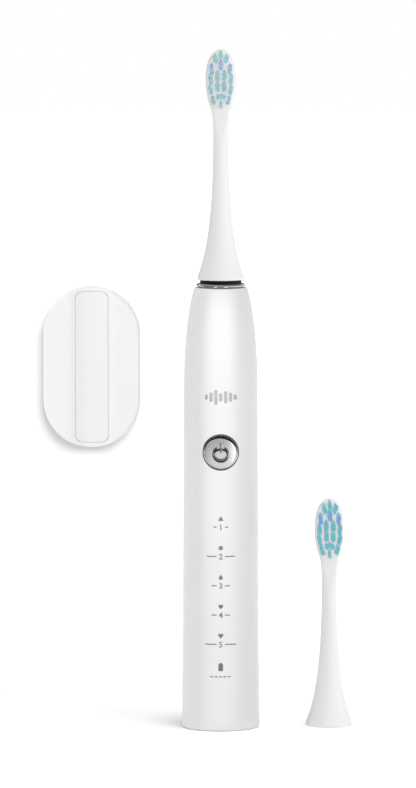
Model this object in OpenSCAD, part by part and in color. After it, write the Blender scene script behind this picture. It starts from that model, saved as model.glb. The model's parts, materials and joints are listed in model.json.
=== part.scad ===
// Upright sonic toothbrush with a spare brush head and a grooved wall holder, in millimetres.
// The origin is the centre of the handle's base on the floor. +Z is up and the button faces -Y.

/* [Handle] */
// Height of the top edge of the handle's shell
shell_h = 161.7; // [160.7:0.1:162.7]
// Radius of the shell just above its foot
base_r = 14.2; // [14.1:0.1:14.5]
// Radius of the shell where its shoulder starts
waist_r = 13.56; // [13.5:0.02:13.7]
// Radius of the shell's top edge
top_r = 9.7; // [9.5:0.1:9.9]
// Thickness of the shell's wall
wall = 1.8; // [1.7:0.1:1.9]
// Radius of the rounded edge round the foot
foot_round = 0.5; // [0.4:0.1:1.4]

/* [Power button] */
// Height of the button's centre
button_z = 102.4; // [100:0.1:104]
// Radius of the hole that takes the button and its dark frame
button_hole_r = 6.65; // [6.5:0.05:6.9]
// How far the button travels
button_travel = 0.6; // [0.3:0.1:0.6]

/* [Indicators] */
// Height of the charge indicator
charge_icon_z = 23.8; // [22:0.1:25]
// Height of the lowest mode indicator
first_icon_z = 35.2; // [34:0.1:36]
// Distance from one mode indicator to the next
icon_pitch = 10.75; // [10.5:0.05:11]

/* [Brush head] */
// Gap between the top edge of the shell and the skirt of the brush head
head_gap = 2.8; // [2.7:0.1:3.6]
// Length of the brush head
head_len = 84.1; // [83:0.1:86]
// Radius of the skirt at its open end
skirt_r = 8.6; // [8.5:0.1:8.8]
// Radius of the neck
neck_r = 2.82; // [2.7:0.02:3]
// Half the width of the oval bristle plate
plate_r = 5.52; // [5.5:0.02:5.8]
// Height of the bristles above the plate
bristle_h = 9.5; // [8:0.5:11]

/* [Drive] */
// Radius of the drive shaft
shaft_r = 2; // [1.9:0.05:2]
// Radial clearance of the shaft in its bushes, its seal and the brush head
shaft_play = 0.03; // [0.02:0.01:0.06]
// Length of the motor
motor_len = 35; // [34:0.5:35]

/* [Charging] */
// Radius of the recess that takes a charger's post
recess_r = 5.1; // [4.9:0.1:5.2]
// Depth of that recess
recess_depth = 9; // [8:0.1:9]

/* [Wall holder] */
// Width of the holder
holder_w = 35.6; // [34:0.1:38]
// Height of the holder
holder_h = 59.4; // [56:0.1:62]
// Thickness of the holder
holder_t = 6.5; // [6.5:0.1:8]
// Depth of the groove that takes the handle
groove_depth = 2.3; // [1.8:0.1:2.3]

/* [Layout] */
// Distance of the spare brush head from the handle's axis, to the right
spare_x = 39.9; // [30:0.1:60]
// Distance of the spare brush head behind the handle's axis
spare_y = 3.6; // [-10:0.1:20]
// Distance of the wall holder's centre from the handle, to the left
holder_x = -47.5; // [-70:0.1:-40]
// Where the wall holder's back lies
holder_y = 20; // [15:1:30]
// Height of the wall holder's centre
holder_z = 131.3; // [100:0.1:140]

/* [Hidden] */
$fn = 64;

white = "#f1f2f3";
steel = "#c9ccd0";
copper = "#b87333";
black = "#17181a";

// Handle: heights of the shell's foot, shoulder and roof
foot_z = 0.2;
shoulder_z = 122.6;
roof_z = shell_h - 3.2;
neck_hole_r = 5;
cavity_r = base_r - wall;

// Bottom cap
cap_z = 0.4;
cap_r = cavity_r - 0.1;
cap_top_z = cap_z + recess_depth + 1.2;
thimble_r = recess_r + 1.2;
foot_ring_r = 11.2;
foot_ring_w = 2.2;
oring_wire_r = 0.54;
oring_z = 6;
groove_r = cap_r - 1;
bobbin_r = groove_r - 1.2;

// Chassis and what it carries
deck_z = cap_top_z + 0.2;
battery_seat_z = 13.9;
battery_r = 7;
battery_y = 3.5;
battery_len = 50;
tab_t = 0.25;
battery_z = battery_seat_z + tab_t;
mid_deck_z = battery_z + battery_len + tab_t + 0.1;
board_t = 1.2;
board_y = -5.9;
board_front = board_y - board_t;
board_w = 17;
board_top = 116.5;
screw_low_z = 72.5;
screw_high_z = 114;
rail_x = 8.9;

// Motor
motor_top = shell_h - 6.6;
motor_z = motor_top - motor_len;
motor_r = 8.5;
can_t = 0.6;
plate_t = 1.5;
bush_r = 4;
rotor_r = 5;
stator_r = rotor_r + 0.3;
rotor_z = motor_z + 8;
rotor_len = 18;

// Power button
button_r = button_hole_r - 0.33;
frame_w = 0.25;
rim_w = 0.8;
dish_back_y = -11.6;
boss_back_y = -9.4;
membrane_y = -10.3;
membrane_t = 0.4;
plunger_r = 0.95;
switch_h = 2;

// Neck and shaft
head_z = shell_h + head_gap;
shaft_top = head_z + 22;
key_z = 14;
key_play = 0.04;
flat_z = head_z + key_z - 0.2;
flat_y = 1.5;
ring_r = 8.95;
ring_z = shell_h + 0.1;
ring_round = 0.7;
ring_well_r = 7.6;
ring_well_z = ring_z + 0.8;
gasket_t = head_z - 0.2 - ring_well_z;

// Brush head, measured from the open end of its skirt
plate_front = -3;
plate_back = 2;
tuft_root = 2.4;
anchor_d = 0.8;
socket_r = 3;
socket_z = 3;
socket_top = 22.4;
mouth_r = 7;
mouth_depth = 3.2;
collar_r = 3.88;

// Wall holder, measured from its back face
handle_fit_r = 14.1;
groove_y = holder_t + handle_fit_r - groove_depth;
strip_w = 12.1;
strip_h = 55.9;
strip_t = 1;
pocket_inset = 2.2;
pocket_depth = 2.2;

// A point of a cubic curve with the four control points p, at t from 0 to 1
function curve_point(p, t) = pow(1 - t, 3) * p[0] + 3 * pow(1 - t, 2) * t * p[1]
    + 3 * (1 - t) * t * t * p[2] + t * t * t * p[3];
function curve(p, n) = [for (i = [0:n]) curve_point(p, i / n)];
function arc(cx, cy, r, a0, a1, n) = [
    for (i = [0:n]) let (a = a0 + (a1 - a0) * i / n) [cx + r * cos(a), cy + r * sin(a)]
];
function unit(v) = v / norm(v);

// Radius of the shell's straight taper at height z
function taper_r(z) = base_r + (waist_r - base_r) * (z - foot_round) / (shoulder_z - foot_round);

// Radius of the dished face of the button, below its rim
dish_r = taper_r(button_z) - 0.45;

shoulder = curve([
    [waist_r, shoulder_z], [waist_r, shoulder_z + 27.6],
    [top_r + 0.4, shell_h - 1.75], [top_r, shell_h]
], 14);
neck_outline = curve([
    [skirt_r, 0.4], [skirt_r - 0.08, 2.7], [neck_r, 9.7], [neck_r, 50]
], 16);
flare_outline = curve([
    [neck_r, head_len - 31], [neck_r, head_len - 19],
    [plate_r, head_len - 20.6], [plate_r, head_len - 11.3]
], 7);
tip_outline = curve([
    [plate_r, head_len - 11.3], [plate_r, head_len - 1.6],
    [1.5, head_len], [0, head_len]
], 9);
plate_half = concat(flare_outline, [for (i = [1:len(tip_outline) - 1]) tip_outline[i]]);

// The bristle layout: side offset, distance below the tip, width, height and tilt.
// Each entry that is off the centre line has a mirrored twin.
teal_rows = [
    [0, 2.2, 1.45, 2.9, 0], [2, 3.5, 1.55, 3.2, -14],
    [3.72, 10.85, 1.4, 3.6, -4], [1.27, 9.7, 1.55, 3.5, 0],
    [3.65, 14.75, 1.35, 3.6, -10], [1.2, 13.7, 1.55, 3.4, 0],
    [2.8, 18.6, 1.3, 3.1, -17], [0, 17.2, 1.6, 3.5, 90], [0, 20.2, 1.05, 2.15, 0]
];
blue_rows = [[3.3, 7.15, 1.45, 3.5, -6], [0, 5.9, 1.65, 3.5, 0]];

module pipe(r_out, r_in, h) {
    difference() {
        cylinder(r = r_out, h = h);
        translate([0, 0, -1]) cylinder(r = r_in, h = h + 2);
    }
}

// A cylinder along Y from y0 to y1, at the height z
module cross_rod(r, y0, y1, z, x = 0) {
    translate([x, y1, z]) rotate([90, 0, 0]) cylinder(r = r, h = y1 - y0);
}

module stadium(w, h) {
    square([w, h - w], center = true);
    for (s = [-1, 1]) translate([0, s * (h - w) / 2]) circle(d = w);
}

module round_rect(w, h, r) {
    square([w - 2 * r, h], center = true);
    square([w, h - 2 * r], center = true);
    for (x = [-1, 1], y = [-1, 1]) translate([x * (w / 2 - r), y * (h / 2 - r)]) circle(r);
}

// A round wire through the points; side is any direction that the wire never runs along
module wire(points, r, side) {
    n = len(points);
    sides = 8;
    rings = [
        for (i = [0:n - 1])
            let (
                t = unit(points[min(i + 1, n - 1)] - points[max(i - 1, 0)]),
                a = unit(cross(side, t)),
                b = cross(t, a)
            )
            for (k = [0:sides - 1]) points[i] + r * (cos(45 * k) * a + sin(45 * k) * b)
    ];
    walls = [
        for (i = [0:n - 2], k = [0:sides - 1])
            let (j = (k + 1) % sides, p = i * sides, q = (i + 1) * sides)
            for (f = [[p + k, q + k, q + j], [p + k, q + j, p + j]]) f
    ];
    first = [for (k = [0:sides - 1]) k];
    last = [for (k = [0:sides - 1]) n * sides - 1 - k];
    polyhedron(rings, concat(walls, [first], [last]));
}

// ---- Handle ----

module shell_blank() {
    foot = arc(base_r - foot_round, foot_z + foot_round, foot_round, -90, 0, 5);
    rotate_extrude() polygon(concat([[0, foot_z]], foot, shoulder, [[0, shell_h]]));
}

module shell_cavity() {
    inner = [for (p = shoulder) if (p[1] < roof_z) [p[0] - wall, p[1]]];
    rotate_extrude() polygon(concat(
        [[0, -1], [cavity_r, -1], [cavity_r, 12]], inner,
        [[inner[len(inner) - 1][0] - 0.4, roof_z], [0, roof_z]]
    ));
}

module icon(i) {
    if (i == 0) {
        square([1.67, 2.6], center = true);
        translate([-0.4, 1.2]) square([0.8, 0.45]);
    }
    if (i == 1) {
        for (s = [-1, 1]) translate([s * 0.44, 0.36]) circle(r = 0.5);
        polygon([[-0.9, 0.2], [-0.3, 0.1], [0.3, 0.1], [0.9, 0.2], [0, -0.9]]);
    }
    if (i == 2) polygon([[-0.85, 0.55], [0, 0.85], [0.85, 0.55], [0.7, -0.35], [0, -0.85], [-0.7, -0.35]]);
    if (i == 3) {
        translate([0, -0.2]) circle(r = 0.74);
        polygon([[-0.68, 0.08], [0.68, 0.08], [0, 1]]);
    }
    if (i == 4) circle(r = 0.8);
    if (i == 5) polygon([[-0.95, -0.8], [0.95, -0.8], [0, 0.9]]);
}

function icon_z(i) = i == 0 ? charge_icon_z : first_icon_z + (i - 1) * icon_pitch;

module icon_prism(i, y0, y1) {
    translate([0, y1, icon_z(i)]) rotate([90, 0, 0]) linear_extrude(y1 - y0) icon(i);
}

module handle_shell() {
    color(white) difference() {
        union() {
            difference() {
                shell_blank();
                shell_cavity();
                translate([0, 0, roof_z - 1]) cylinder(r = neck_hole_r, h = 10);
            }
            intersection() {
                cross_rod(button_hole_r + 1.4, -20, boss_back_y, button_z);
                shell_blank();
            }
        }
        cross_rod(button_hole_r, -20, boss_back_y + 1, button_z);
        for (i = [0:5]) icon_prism(i, -20, -9);
    }
}

module bottom_cap() {
    color(white) difference() {
        union() {
            translate([0, 0, cap_z]) cylinder(r = cap_r, h = 2.2);
            translate([0, 0, cap_z]) cylinder(r = thimble_r, h = recess_depth + 1.2);
            translate([0, 0, cap_z]) pipe(cap_r, groove_r - 1.1, 8.6);
        }
        translate([0, 0, cap_z - 1]) cylinder(r = recess_r, h = recess_depth + 1);
        translate([0, 0, cap_z - 1]) pipe(foot_ring_r, foot_ring_r - foot_ring_w, 1.6);
        translate([0, 0, oring_z - 0.6]) pipe(cap_r + 1, groove_r, 1.2);
    }
}

module foot_ring() {
    color("#3a3c40") pipe(foot_ring_r, foot_ring_r - foot_ring_w, 1);
}

module cap_oring() {
    color(black) rotate_extrude()
        translate([groove_r + oring_wire_r + 0.01, oring_z]) circle(r = oring_wire_r);
}

module coil_bobbin() {
    color("#d8d2bf") {
        translate([0, 0, 2.65]) pipe(bobbin_r, thimble_r + 0.05, 0.65);
        translate([0, 0, 3.3]) pipe(thimble_r + 0.8, thimble_r + 0.05, 5);
        translate([0, 0, 8.3]) pipe(bobbin_r, thimble_r + 0.05, 0.6);
    }
}

module charge_coil() {
    color(copper) translate([0, 0, 3.3]) pipe(bobbin_r - 0.4, thimble_r + 0.8, 5);
}

module coil_ferrite() {
    color("#3c3b3a") translate([0, 0, 8.9]) pipe(8.6, thimble_r + 0.05, 1);
}

module chassis() {
    color("#e4e4de") difference() {
        union() {
            translate([0, 0, deck_z]) cylinder(r = 11, h = battery_seat_z - deck_z);
            translate([0, 0, mid_deck_z]) cylinder(r = 11, h = 2);
            translate([0, 0, motor_z - 2.1]) cylinder(r = 11, h = 2.1);
            for (s = [-1, 1])
                translate([s * (rail_x + 0.75) - 0.75, -4, deck_z])
                    cube([1.5, 8, motor_z - deck_z - 0.1]);
            translate([-2.2, board_y, mid_deck_z + 0.5]) cube([4.4, 2.4, 8]);
            translate([-2.2, board_y, motor_z - 8]) cube([4.4, 2.4, 7]);
        }
        translate([-12, -20, battery_seat_z]) cube([24, 20 + board_y, motor_z - battery_seat_z - 2]);
        translate([-5, -20, motor_z - 2.2]) cube([10, 16.1, 3]);
        translate([-4, -20, deck_z - 1]) cube([8, 13, 10]);
        for (z = [screw_low_z, screw_high_z]) cross_rod(0.8, -20, board_y + 2, z);
    }
}

module battery() {
    color("#4d7fa8") translate([0, battery_y, battery_z]) {
        cylinder(r = battery_r, h = battery_len - 0.8);
        cylinder(r = 2.6, h = battery_len);
    }
}

module battery_tabs() {
    color(steel) for (z = [battery_z - tab_t, battery_z + battery_len])
        translate([-2, board_y, z]) cube([4, battery_y - board_y + 1, tab_t]);
}

module circuit_board() {
    color("#2f6e46") difference() {
        translate([-board_w / 2, board_front, battery_seat_z])
            cube([board_w, board_t, board_top - battery_seat_z]);
        for (z = [screw_low_z, screw_high_z]) cross_rod(0.95, -20, 0, z);
    }
}

module mode_leds() {
    color("#f2e6a0") for (i = [0:5])
        translate([-0.8, board_front - 0.8, icon_z(i) - 0.6]) cube([1.6, 0.8, 1.2]);
}

module light_guides() {
    color("#dfe8ee") for (i = [0:5])
        cross_rod(1.2, wall + 0.15 - taper_r(icon_z(i)), board_front - 0.85, icon_z(i));
}

module mode_windows() {
    color("#85878a") for (i = [0:5]) intersection() {
        icon_prism(i, -20, wall - taper_r(icon_z(i)));
        translate([0, 0, foot_round + foot_z])
            cylinder(r1 = base_r, r2 = waist_r, h = shoulder_z - foot_round - foot_z);
    }
}

module board_chips() {
    color(black) {
        translate([-2.5, board_y, 84]) cube([5, 0.9, 5]);
        translate([-6.5, board_y, 94]) cube([4, 1.1, 5]);
        translate([2.5, board_y, 94.5]) cube([3, 1.1, 4]);
        for (s = [-1, 1]) cross_rod(2.4, board_y, board_y + 3, 104, s * 4);
    }
}

module frame_screws() {
    color(steel) for (z = [screw_low_z, screw_high_z]) {
        cross_rod(1.6, board_front - 0.8, board_front, z);
        cross_rod(0.8, board_front, board_y + 1.8, z);
    }
}

module switch_housing() {
    color("#26282b") difference() {
        translate([-2.5, board_front - switch_h, button_z - 2.5]) cube([5, switch_h, 5]);
        cross_rod(plunger_r + 0.05, board_front - 3, board_front - 0.4, button_z);
    }
}

module switch_plunger() {
    color("#c9b98d") cross_rod(plunger_r, -9.9, board_front - 0.8, button_z);
}

module button_membrane() {
    color("#8d9196") {
        cross_rod(button_hole_r, membrane_y - membrane_t, membrane_y, button_z);
        difference() {
            cross_rod(button_hole_r, membrane_y, boss_back_y, button_z);
            cross_rod(button_hole_r - 0.8, membrane_y - 0.1, boss_back_y + 1, button_z);
        }
    }
}

module button_frame() {
    color("#2b2d30") intersection() {
        difference() {
            cross_rod(button_hole_r, -20, membrane_y - membrane_t, button_z);
            cross_rod(button_hole_r - frame_w, -21, 0, button_z);
        }
        translate([0, 0, button_z - 20]) cylinder(r = taper_r(button_z) + 0.05, h = 40);
    }
}

// A disc across the handle, behind the round of radius r that the handle's own round carries on
module curved_disc(disc_r, r) {
    intersection() {
        cross_rod(disc_r, -20, dish_back_y, button_z);
        translate([0, 0, button_z - 20]) cylinder(r = r, h = 40);
    }
}

// The rim follows the round of the handle and stands a little proud of it
module button_rim() {
    color("#dfe2e5") difference() {
        curved_disc(button_r, taper_r(button_z) + 0.3);
        cross_rod(button_r - rim_w, -21, 0, button_z);
    }
}

module button_cap() {
    color("#a9abae") {
        curved_disc(button_r - rim_w, dish_r);
        cross_rod(button_r, dish_back_y, dish_back_y + 0.3, button_z);
        cross_rod(1.2, dish_back_y + 0.3, membrane_y - membrane_t - 0.05, button_z);
    }
}

module power_symbol() {
    color("#e6e8ea") difference() {
        intersection() {
            union() {
                difference() {
                    cross_rod(3.15, -20, dish_back_y, button_z - 0.7);
                    cross_rod(2.35, -21, 0, button_z - 0.7);
                    translate([-1.3, -21, button_z]) cube([2.6, 20, 4]);
                }
                translate([-0.6, -20, button_z - 0.1]) cube([1.2, 10, 4]);
            }
            translate([0, 0, button_z - 20]) cylinder(r = dish_r + 0.35, h = 40);
        }
        translate([0, 0, button_z - 21]) cylinder(r = dish_r, h = 42);
    }
}

module motor_can() {
    color(steel) {
        translate([0, 0, motor_z + plate_t])
            pipe(motor_r, motor_r - can_t, motor_len - 2 * plate_t);
        translate([0, 0, motor_top - plate_t]) pipe(motor_r, bush_r + 0.02, plate_t);
    }
}

module motor_rear_cap() {
    color("#9ea2a6") translate([0, 0, motor_z]) pipe(motor_r, bush_r + 0.02, plate_t);
}

module motor_bushes() {
    color("#c8a060") {
        translate([0, 0, motor_z]) pipe(bush_r, shaft_r + shaft_play, 3);
        translate([0, 0, motor_top - 3]) pipe(bush_r, shaft_r + shaft_play, 4);
    }
}

module stator_poles() {
    color("#7b7e82") intersection() {
        translate([0, 0, rotor_z - 1]) pipe(motor_r - can_t, stator_r, rotor_len + 2);
        translate([-10, -2.4, rotor_z - 1]) cube([20, 4.8, rotor_len + 2]);
    }
}

module motor_coils() {
    color(copper) intersection() {
        translate([0, 0, rotor_z]) pipe(motor_r - can_t - 0.1, stator_r, rotor_len);
        for (s = [-1, 1]) translate([-10, s * 3.8 - 1.3, rotor_z]) cube([20, 2.6, rotor_len]);
    }
}

module motor_dampers() {
    color(black) {
        translate([0, 0, motor_z + 3]) pipe(11.6, motor_r, 3);
        translate([0, 0, motor_top - 10]) pipe(10.4, motor_r, 2.5);
    }
}

module rotor_core() {
    color("#8b8e92") translate([0, 0, rotor_z]) pipe(3.4, shaft_r, rotor_len);
}

module rotor_magnets() {
    color("#6a6d72") difference() {
        translate([0, 0, rotor_z]) pipe(rotor_r, 3.4, rotor_len);
        for (a = [0, 90]) rotate([0, 0, a])
            translate([-0.4, -8, rotor_z - 1]) cube([0.8, 16, rotor_len + 2]);
    }
}

module centering_spring() {
    turns = 3;
    color(steel) wire([
        for (a = [0:30:360 * turns])
            [3.4 * cos(a), 3.4 * sin(a), rotor_z + rotor_len + 0.5 + 3.4 * a / 360 / turns]
    ], 0.35, [0, 0, 1]);
}

module drive_shaft() {
    color(steel) difference() {
        union() {
            translate([0, 0, motor_z + 0.3]) cylinder(r = shaft_r, h = shaft_top - motor_z - 0.8);
            translate([0, 0, shaft_top - 0.5]) cylinder(r1 = shaft_r, r2 = shaft_r - 0.5, h = 0.5);
        }
        translate([-5, flat_y, flat_z]) cube([10, 5, 20]);
    }
}

module shaft_seal() {
    color(black) difference() {
        union() {
            translate([0, 0, roof_z]) cylinder(r = neck_hole_r - 0.02, h = shell_h - roof_z);
            translate([0, 0, shell_h]) cylinder(r1 = 4.4, r2 = 3, h = 2.6);
        }
        translate([0, 0, roof_z - 1]) cylinder(r = shaft_r + shaft_play, h = 10);
    }
}

module chrome_ring() {
    color("#d9dcdf") rotate_extrude() difference() {
        union() {
            translate([ring_r - ring_round, ring_z + ring_round]) circle(r = ring_round);
            translate([neck_hole_r, ring_z])
                square([ring_r - ring_round - neck_hole_r, 2 * ring_round]);
        }
        translate([0, ring_well_z]) square([ring_well_r, 5]);
    }
}

module neck_gasket() {
    color(black) translate([0, 0, ring_well_z]) pipe(ring_well_r, neck_hole_r, gasket_t);
}

module motor_leads() {
    color("#b03030") for (s = [-1, 1]) wire([
        [s * 3, board_y + 0.5, 109], [s * 3, board_y + 0.6, 112], [s * 3.1, board_y + 0.9, 115],
        [s * 3.3, -4.7, 117], [s * 3.4, -4.6, motor_z]
    ], 0.4, [0, 1, 0]);
}

module coil_leads() {
    color("#b03030") for (s = [-1, 1]) wire([
        [s * 2, -9.4, 8.95], [s * 2, -9.4, 11], [s * 2, -8.8, 13],
        [s * 2, board_front - 0.6, 15.5], [s * 2, board_front - 0.5, 18]
    ], 0.35, [1, 0, 0]);
}

// ---- Brush head, built upwards from the open end of its skirt ----

module tuft(t, y0, y1) {
    for (s = t[0] == 0 ? [1] : [-1, 1])
        translate([s * t[0], y1, head_len - t[1]]) rotate([90, 0, 0])
            rotate([0, 0, s * t[4]]) linear_extrude(y1 - y0) stadium(t[2], t[3]);
}

module brush_body() {
    color(white) difference() {
        union() {
            rotate_extrude() polygon(concat(
                [[0, 0], [skirt_r - 0.2, 0], [skirt_r, 0.2]], neck_outline,
                [[neck_r, head_len - 29], [2, head_len - 22], [0, head_len - 21.5]]
            ));
            intersection() {
                translate([0, 5, 0]) rotate([90, 0, 0]) linear_extrude(10) polygon(concat(
                    plate_half,
                    [for (i = [len(plate_half) - 2:-1:0]) [-plate_half[i][0], plate_half[i][1]]]
                ));
                rotate([90, 0, 90]) linear_extrude(20, center = true) polygon([
                    [-2.5, head_len - 31], [plate_front, head_len - 27], [plate_front, head_len],
                    [-0.6, head_len], [1.3, head_len - 2], [plate_back, head_len - 5],
                    [plate_back, head_len - 24], [2.6, head_len - 31]
                ]);
            }
        }
        translate([0, 0, -1]) cylinder(r = mouth_r, h = mouth_depth + 1);
        translate([0, 0, mouth_depth - 0.01]) cylinder(r1 = 6, r2 = 4.4, h = 4);
        translate([0, 0, mouth_depth]) cylinder(r = collar_r + 0.02, h = 10.8);
        translate([0, 0, mouth_depth]) cylinder(r = socket_r + 0.02, h = socket_top - mouth_depth);
        for (t = concat(teal_rows, blue_rows))
            tuft(t, plate_front - 5, plate_front + tuft_root + anchor_d);
    }
}

module brush_tufts(rows) {
    for (t = rows) tuft(t, plate_front - bristle_h, plate_front + tuft_root);
}

module brush_anchors() {
    color("#b9a25c") for (t = concat(teal_rows, blue_rows), s = t[0] == 0 ? [1] : [-1, 1])
        translate([s * t[0] - 0.15, plate_front + tuft_root, head_len - t[1] - 0.5])
            cube([0.3, anchor_d, 1]);
}

module brush_socket() {
    color("#dfe0e2") difference() {
        union() {
            translate([0, 0, socket_z]) cylinder(r = socket_r, h = socket_top - socket_z);
            translate([0, 0, 8]) cylinder(r = collar_r, h = 2.5);
        }
        translate([0, 0, -1]) cylinder(r = shaft_r + shaft_play, h = key_z + 1);
        translate([-shaft_r - key_play, -shaft_r - key_play, key_z - 1])
            cube([2 * (shaft_r + key_play), shaft_r + flat_y + 2 * key_play, 20]);
    }
}

module brush_clip() {
    color(steel) translate([0, 0, 10.9]) rotate([0, 0, 120])
        rotate_extrude(angle = 300) translate([socket_r + 0.02, 0]) square([0.6, 2.4]);
}

module brush_ring() {
    color("#cfd3d8") translate([0, 0, 0.4]) pipe(mouth_r - 0.02, 6, mouth_depth - 0.5);
}

module on_shaft() {
    translate([0, 0, head_z]) children();
}

module on_floor() {
    translate([spare_x, spare_y, 0]) children();
}

module head_body() { on_shaft() brush_body(); }
module teal_tufts() { on_shaft() color("#78bfc9") brush_tufts(teal_rows); }
module blue_tufts() { on_shaft() color("#77aede") brush_tufts(blue_rows); }
module tuft_anchors() { on_shaft() brush_anchors(); }
module shaft_socket() { on_shaft() brush_socket(); }
module socket_clip() { on_shaft() brush_clip(); }
module skirt_ring() { on_shaft() brush_ring(); }
module spare_head_body() { on_floor() brush_body(); }
module spare_teal_tufts() { on_floor() color("#78bfc9") brush_tufts(teal_rows); }
module spare_blue_tufts() { on_floor() color("#77aede") brush_tufts(blue_rows); }
module spare_tuft_anchors() { on_floor() brush_anchors(); }
module spare_socket() { on_floor() brush_socket(); }
module spare_clip() { on_floor() brush_clip(); }
module spare_skirt_ring() { on_floor() brush_ring(); }

// ---- Wall holder, built up from its back as the local z = 0 ----

module on_wall() {
    translate([holder_x, holder_y, holder_z]) rotate([90, 0, 0]) children();
}

// The outline runs from the middle of the back to the middle of the front
function holder_profile() = concat(
    [[0, 0.2], [holder_w / 2 - 0.3, 0.2], [holder_w / 2, 0.5]],
    arc(holder_w / 2 - 1.2, holder_t - 1.2, 1.2, 0, 90, 5), [[0, holder_t]]
);

module holder_blank() {
    half = holder_profile();
    straight = holder_h - holder_w;
    for (s = [-1, 1]) translate([0, s * straight / 2, 0]) rotate_extrude() polygon(half);
    rotate([90, 0, 0]) linear_extrude(straight, center = true)
        polygon(concat(half, [for (i = [len(half) - 2:-1:1]) [-half[i][0], half[i][1]]]));
}

// A rod along the groove, with the radius r
module groove_rod(r) {
    translate([0, 0, groove_y]) rotate([90, 0, 0]) cylinder(r = r, h = 2 * holder_h, center = true);
}

module holder_shell() {
    on_wall() color(white) difference() {
        holder_blank();
        groove_rod(handle_fit_r);
        intersection() {
            groove_rod(handle_fit_r + strip_t);
            linear_extrude(holder_t) round_rect(strip_w, strip_h, 2.2);
        }
        translate([0, 0, -1]) linear_extrude(pocket_depth + 1)
            stadium(holder_w - 2 * pocket_inset, holder_h - 2 * pocket_inset);
    }
}

module holder_strip() {
    on_wall() color("#f4f4f4") intersection() {
        difference() {
            groove_rod(handle_fit_r + strip_t);
            groove_rod(handle_fit_r - 0.1);
        }
        linear_extrude(holder_t) round_rect(strip_w - 0.06, strip_h - 0.06, 2.17);
    }
}

module holder_magnets() {
    on_wall() color(steel) for (s = [-1, 1])
        translate([0, 14 * s, 1.2]) cylinder(r = 5, h = pocket_depth - 1.2);
}

module holder_back_plate() {
    on_wall() color("#d5d7da") translate([0, 0, 0.4]) linear_extrude(0.8)
        stadium(holder_w - 2 * pocket_inset - 0.1, holder_h - 2 * pocket_inset - 0.1);
}

module adhesive_pad() {
    on_wall() color("#55585c") linear_extrude(0.4)
        stadium(holder_w - 2 * pocket_inset - 1.5, holder_h - 2 * pocket_inset - 1.5);
}

handle_shell();
bottom_cap();
foot_ring();
cap_oring();
coil_bobbin();
charge_coil();
coil_ferrite();
chassis();
battery();
battery_tabs();
circuit_board();
mode_leds();
light_guides();
mode_windows();
board_chips();
frame_screws();
switch_housing();
switch_plunger();
button_membrane();
button_frame();
button_cap();
button_rim();
power_symbol();
motor_can();
motor_rear_cap();
motor_bushes();
stator_poles();
motor_coils();
motor_dampers();
rotor_core();
rotor_magnets();
centering_spring();
drive_shaft();
shaft_seal();
chrome_ring();
neck_gasket();
motor_leads();
coil_leads();
head_body();
teal_tufts();
blue_tufts();
tuft_anchors();
shaft_socket();
socket_clip();
skirt_ring();
spare_head_body();
spare_teal_tufts();
spare_blue_tufts();
spare_tuft_anchors();
spare_socket();
spare_clip();
spare_skirt_ring();
holder_shell();
holder_strip();
holder_magnets();
holder_back_plate();
adhesive_pad();
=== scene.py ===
# An upright sonic toothbrush with a spare brush head and a wall holder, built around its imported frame.
import json
import math

import bmesh
import bpy
import numpy as np
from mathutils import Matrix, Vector

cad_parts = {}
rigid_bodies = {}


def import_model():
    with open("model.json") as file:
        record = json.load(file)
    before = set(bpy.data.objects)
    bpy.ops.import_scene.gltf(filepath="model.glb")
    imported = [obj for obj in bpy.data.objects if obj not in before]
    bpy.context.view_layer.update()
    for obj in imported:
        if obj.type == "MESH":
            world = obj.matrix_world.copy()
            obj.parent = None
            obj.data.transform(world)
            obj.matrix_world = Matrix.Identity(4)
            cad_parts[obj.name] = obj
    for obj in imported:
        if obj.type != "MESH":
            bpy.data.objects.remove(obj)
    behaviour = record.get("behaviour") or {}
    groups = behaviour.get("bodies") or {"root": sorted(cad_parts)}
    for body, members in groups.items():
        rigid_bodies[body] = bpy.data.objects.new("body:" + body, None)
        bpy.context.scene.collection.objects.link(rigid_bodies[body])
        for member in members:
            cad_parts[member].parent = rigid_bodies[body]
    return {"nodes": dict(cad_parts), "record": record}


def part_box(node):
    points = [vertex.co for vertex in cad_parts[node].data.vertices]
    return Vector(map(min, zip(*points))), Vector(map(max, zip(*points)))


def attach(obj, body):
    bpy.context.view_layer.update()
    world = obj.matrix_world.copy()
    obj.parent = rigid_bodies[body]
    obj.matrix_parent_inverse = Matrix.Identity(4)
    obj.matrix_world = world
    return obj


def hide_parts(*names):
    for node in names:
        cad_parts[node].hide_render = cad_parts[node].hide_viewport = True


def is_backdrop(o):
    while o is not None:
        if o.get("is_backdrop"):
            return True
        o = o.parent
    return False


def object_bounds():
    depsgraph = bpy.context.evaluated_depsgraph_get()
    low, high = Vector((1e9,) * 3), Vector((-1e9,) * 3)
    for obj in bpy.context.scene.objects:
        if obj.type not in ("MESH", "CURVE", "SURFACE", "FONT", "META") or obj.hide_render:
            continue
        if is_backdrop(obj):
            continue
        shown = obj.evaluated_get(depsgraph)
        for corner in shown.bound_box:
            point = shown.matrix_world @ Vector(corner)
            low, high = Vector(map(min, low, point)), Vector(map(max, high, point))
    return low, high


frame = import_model()
cad_low, cad_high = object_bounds()
MM = 0.001

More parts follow.
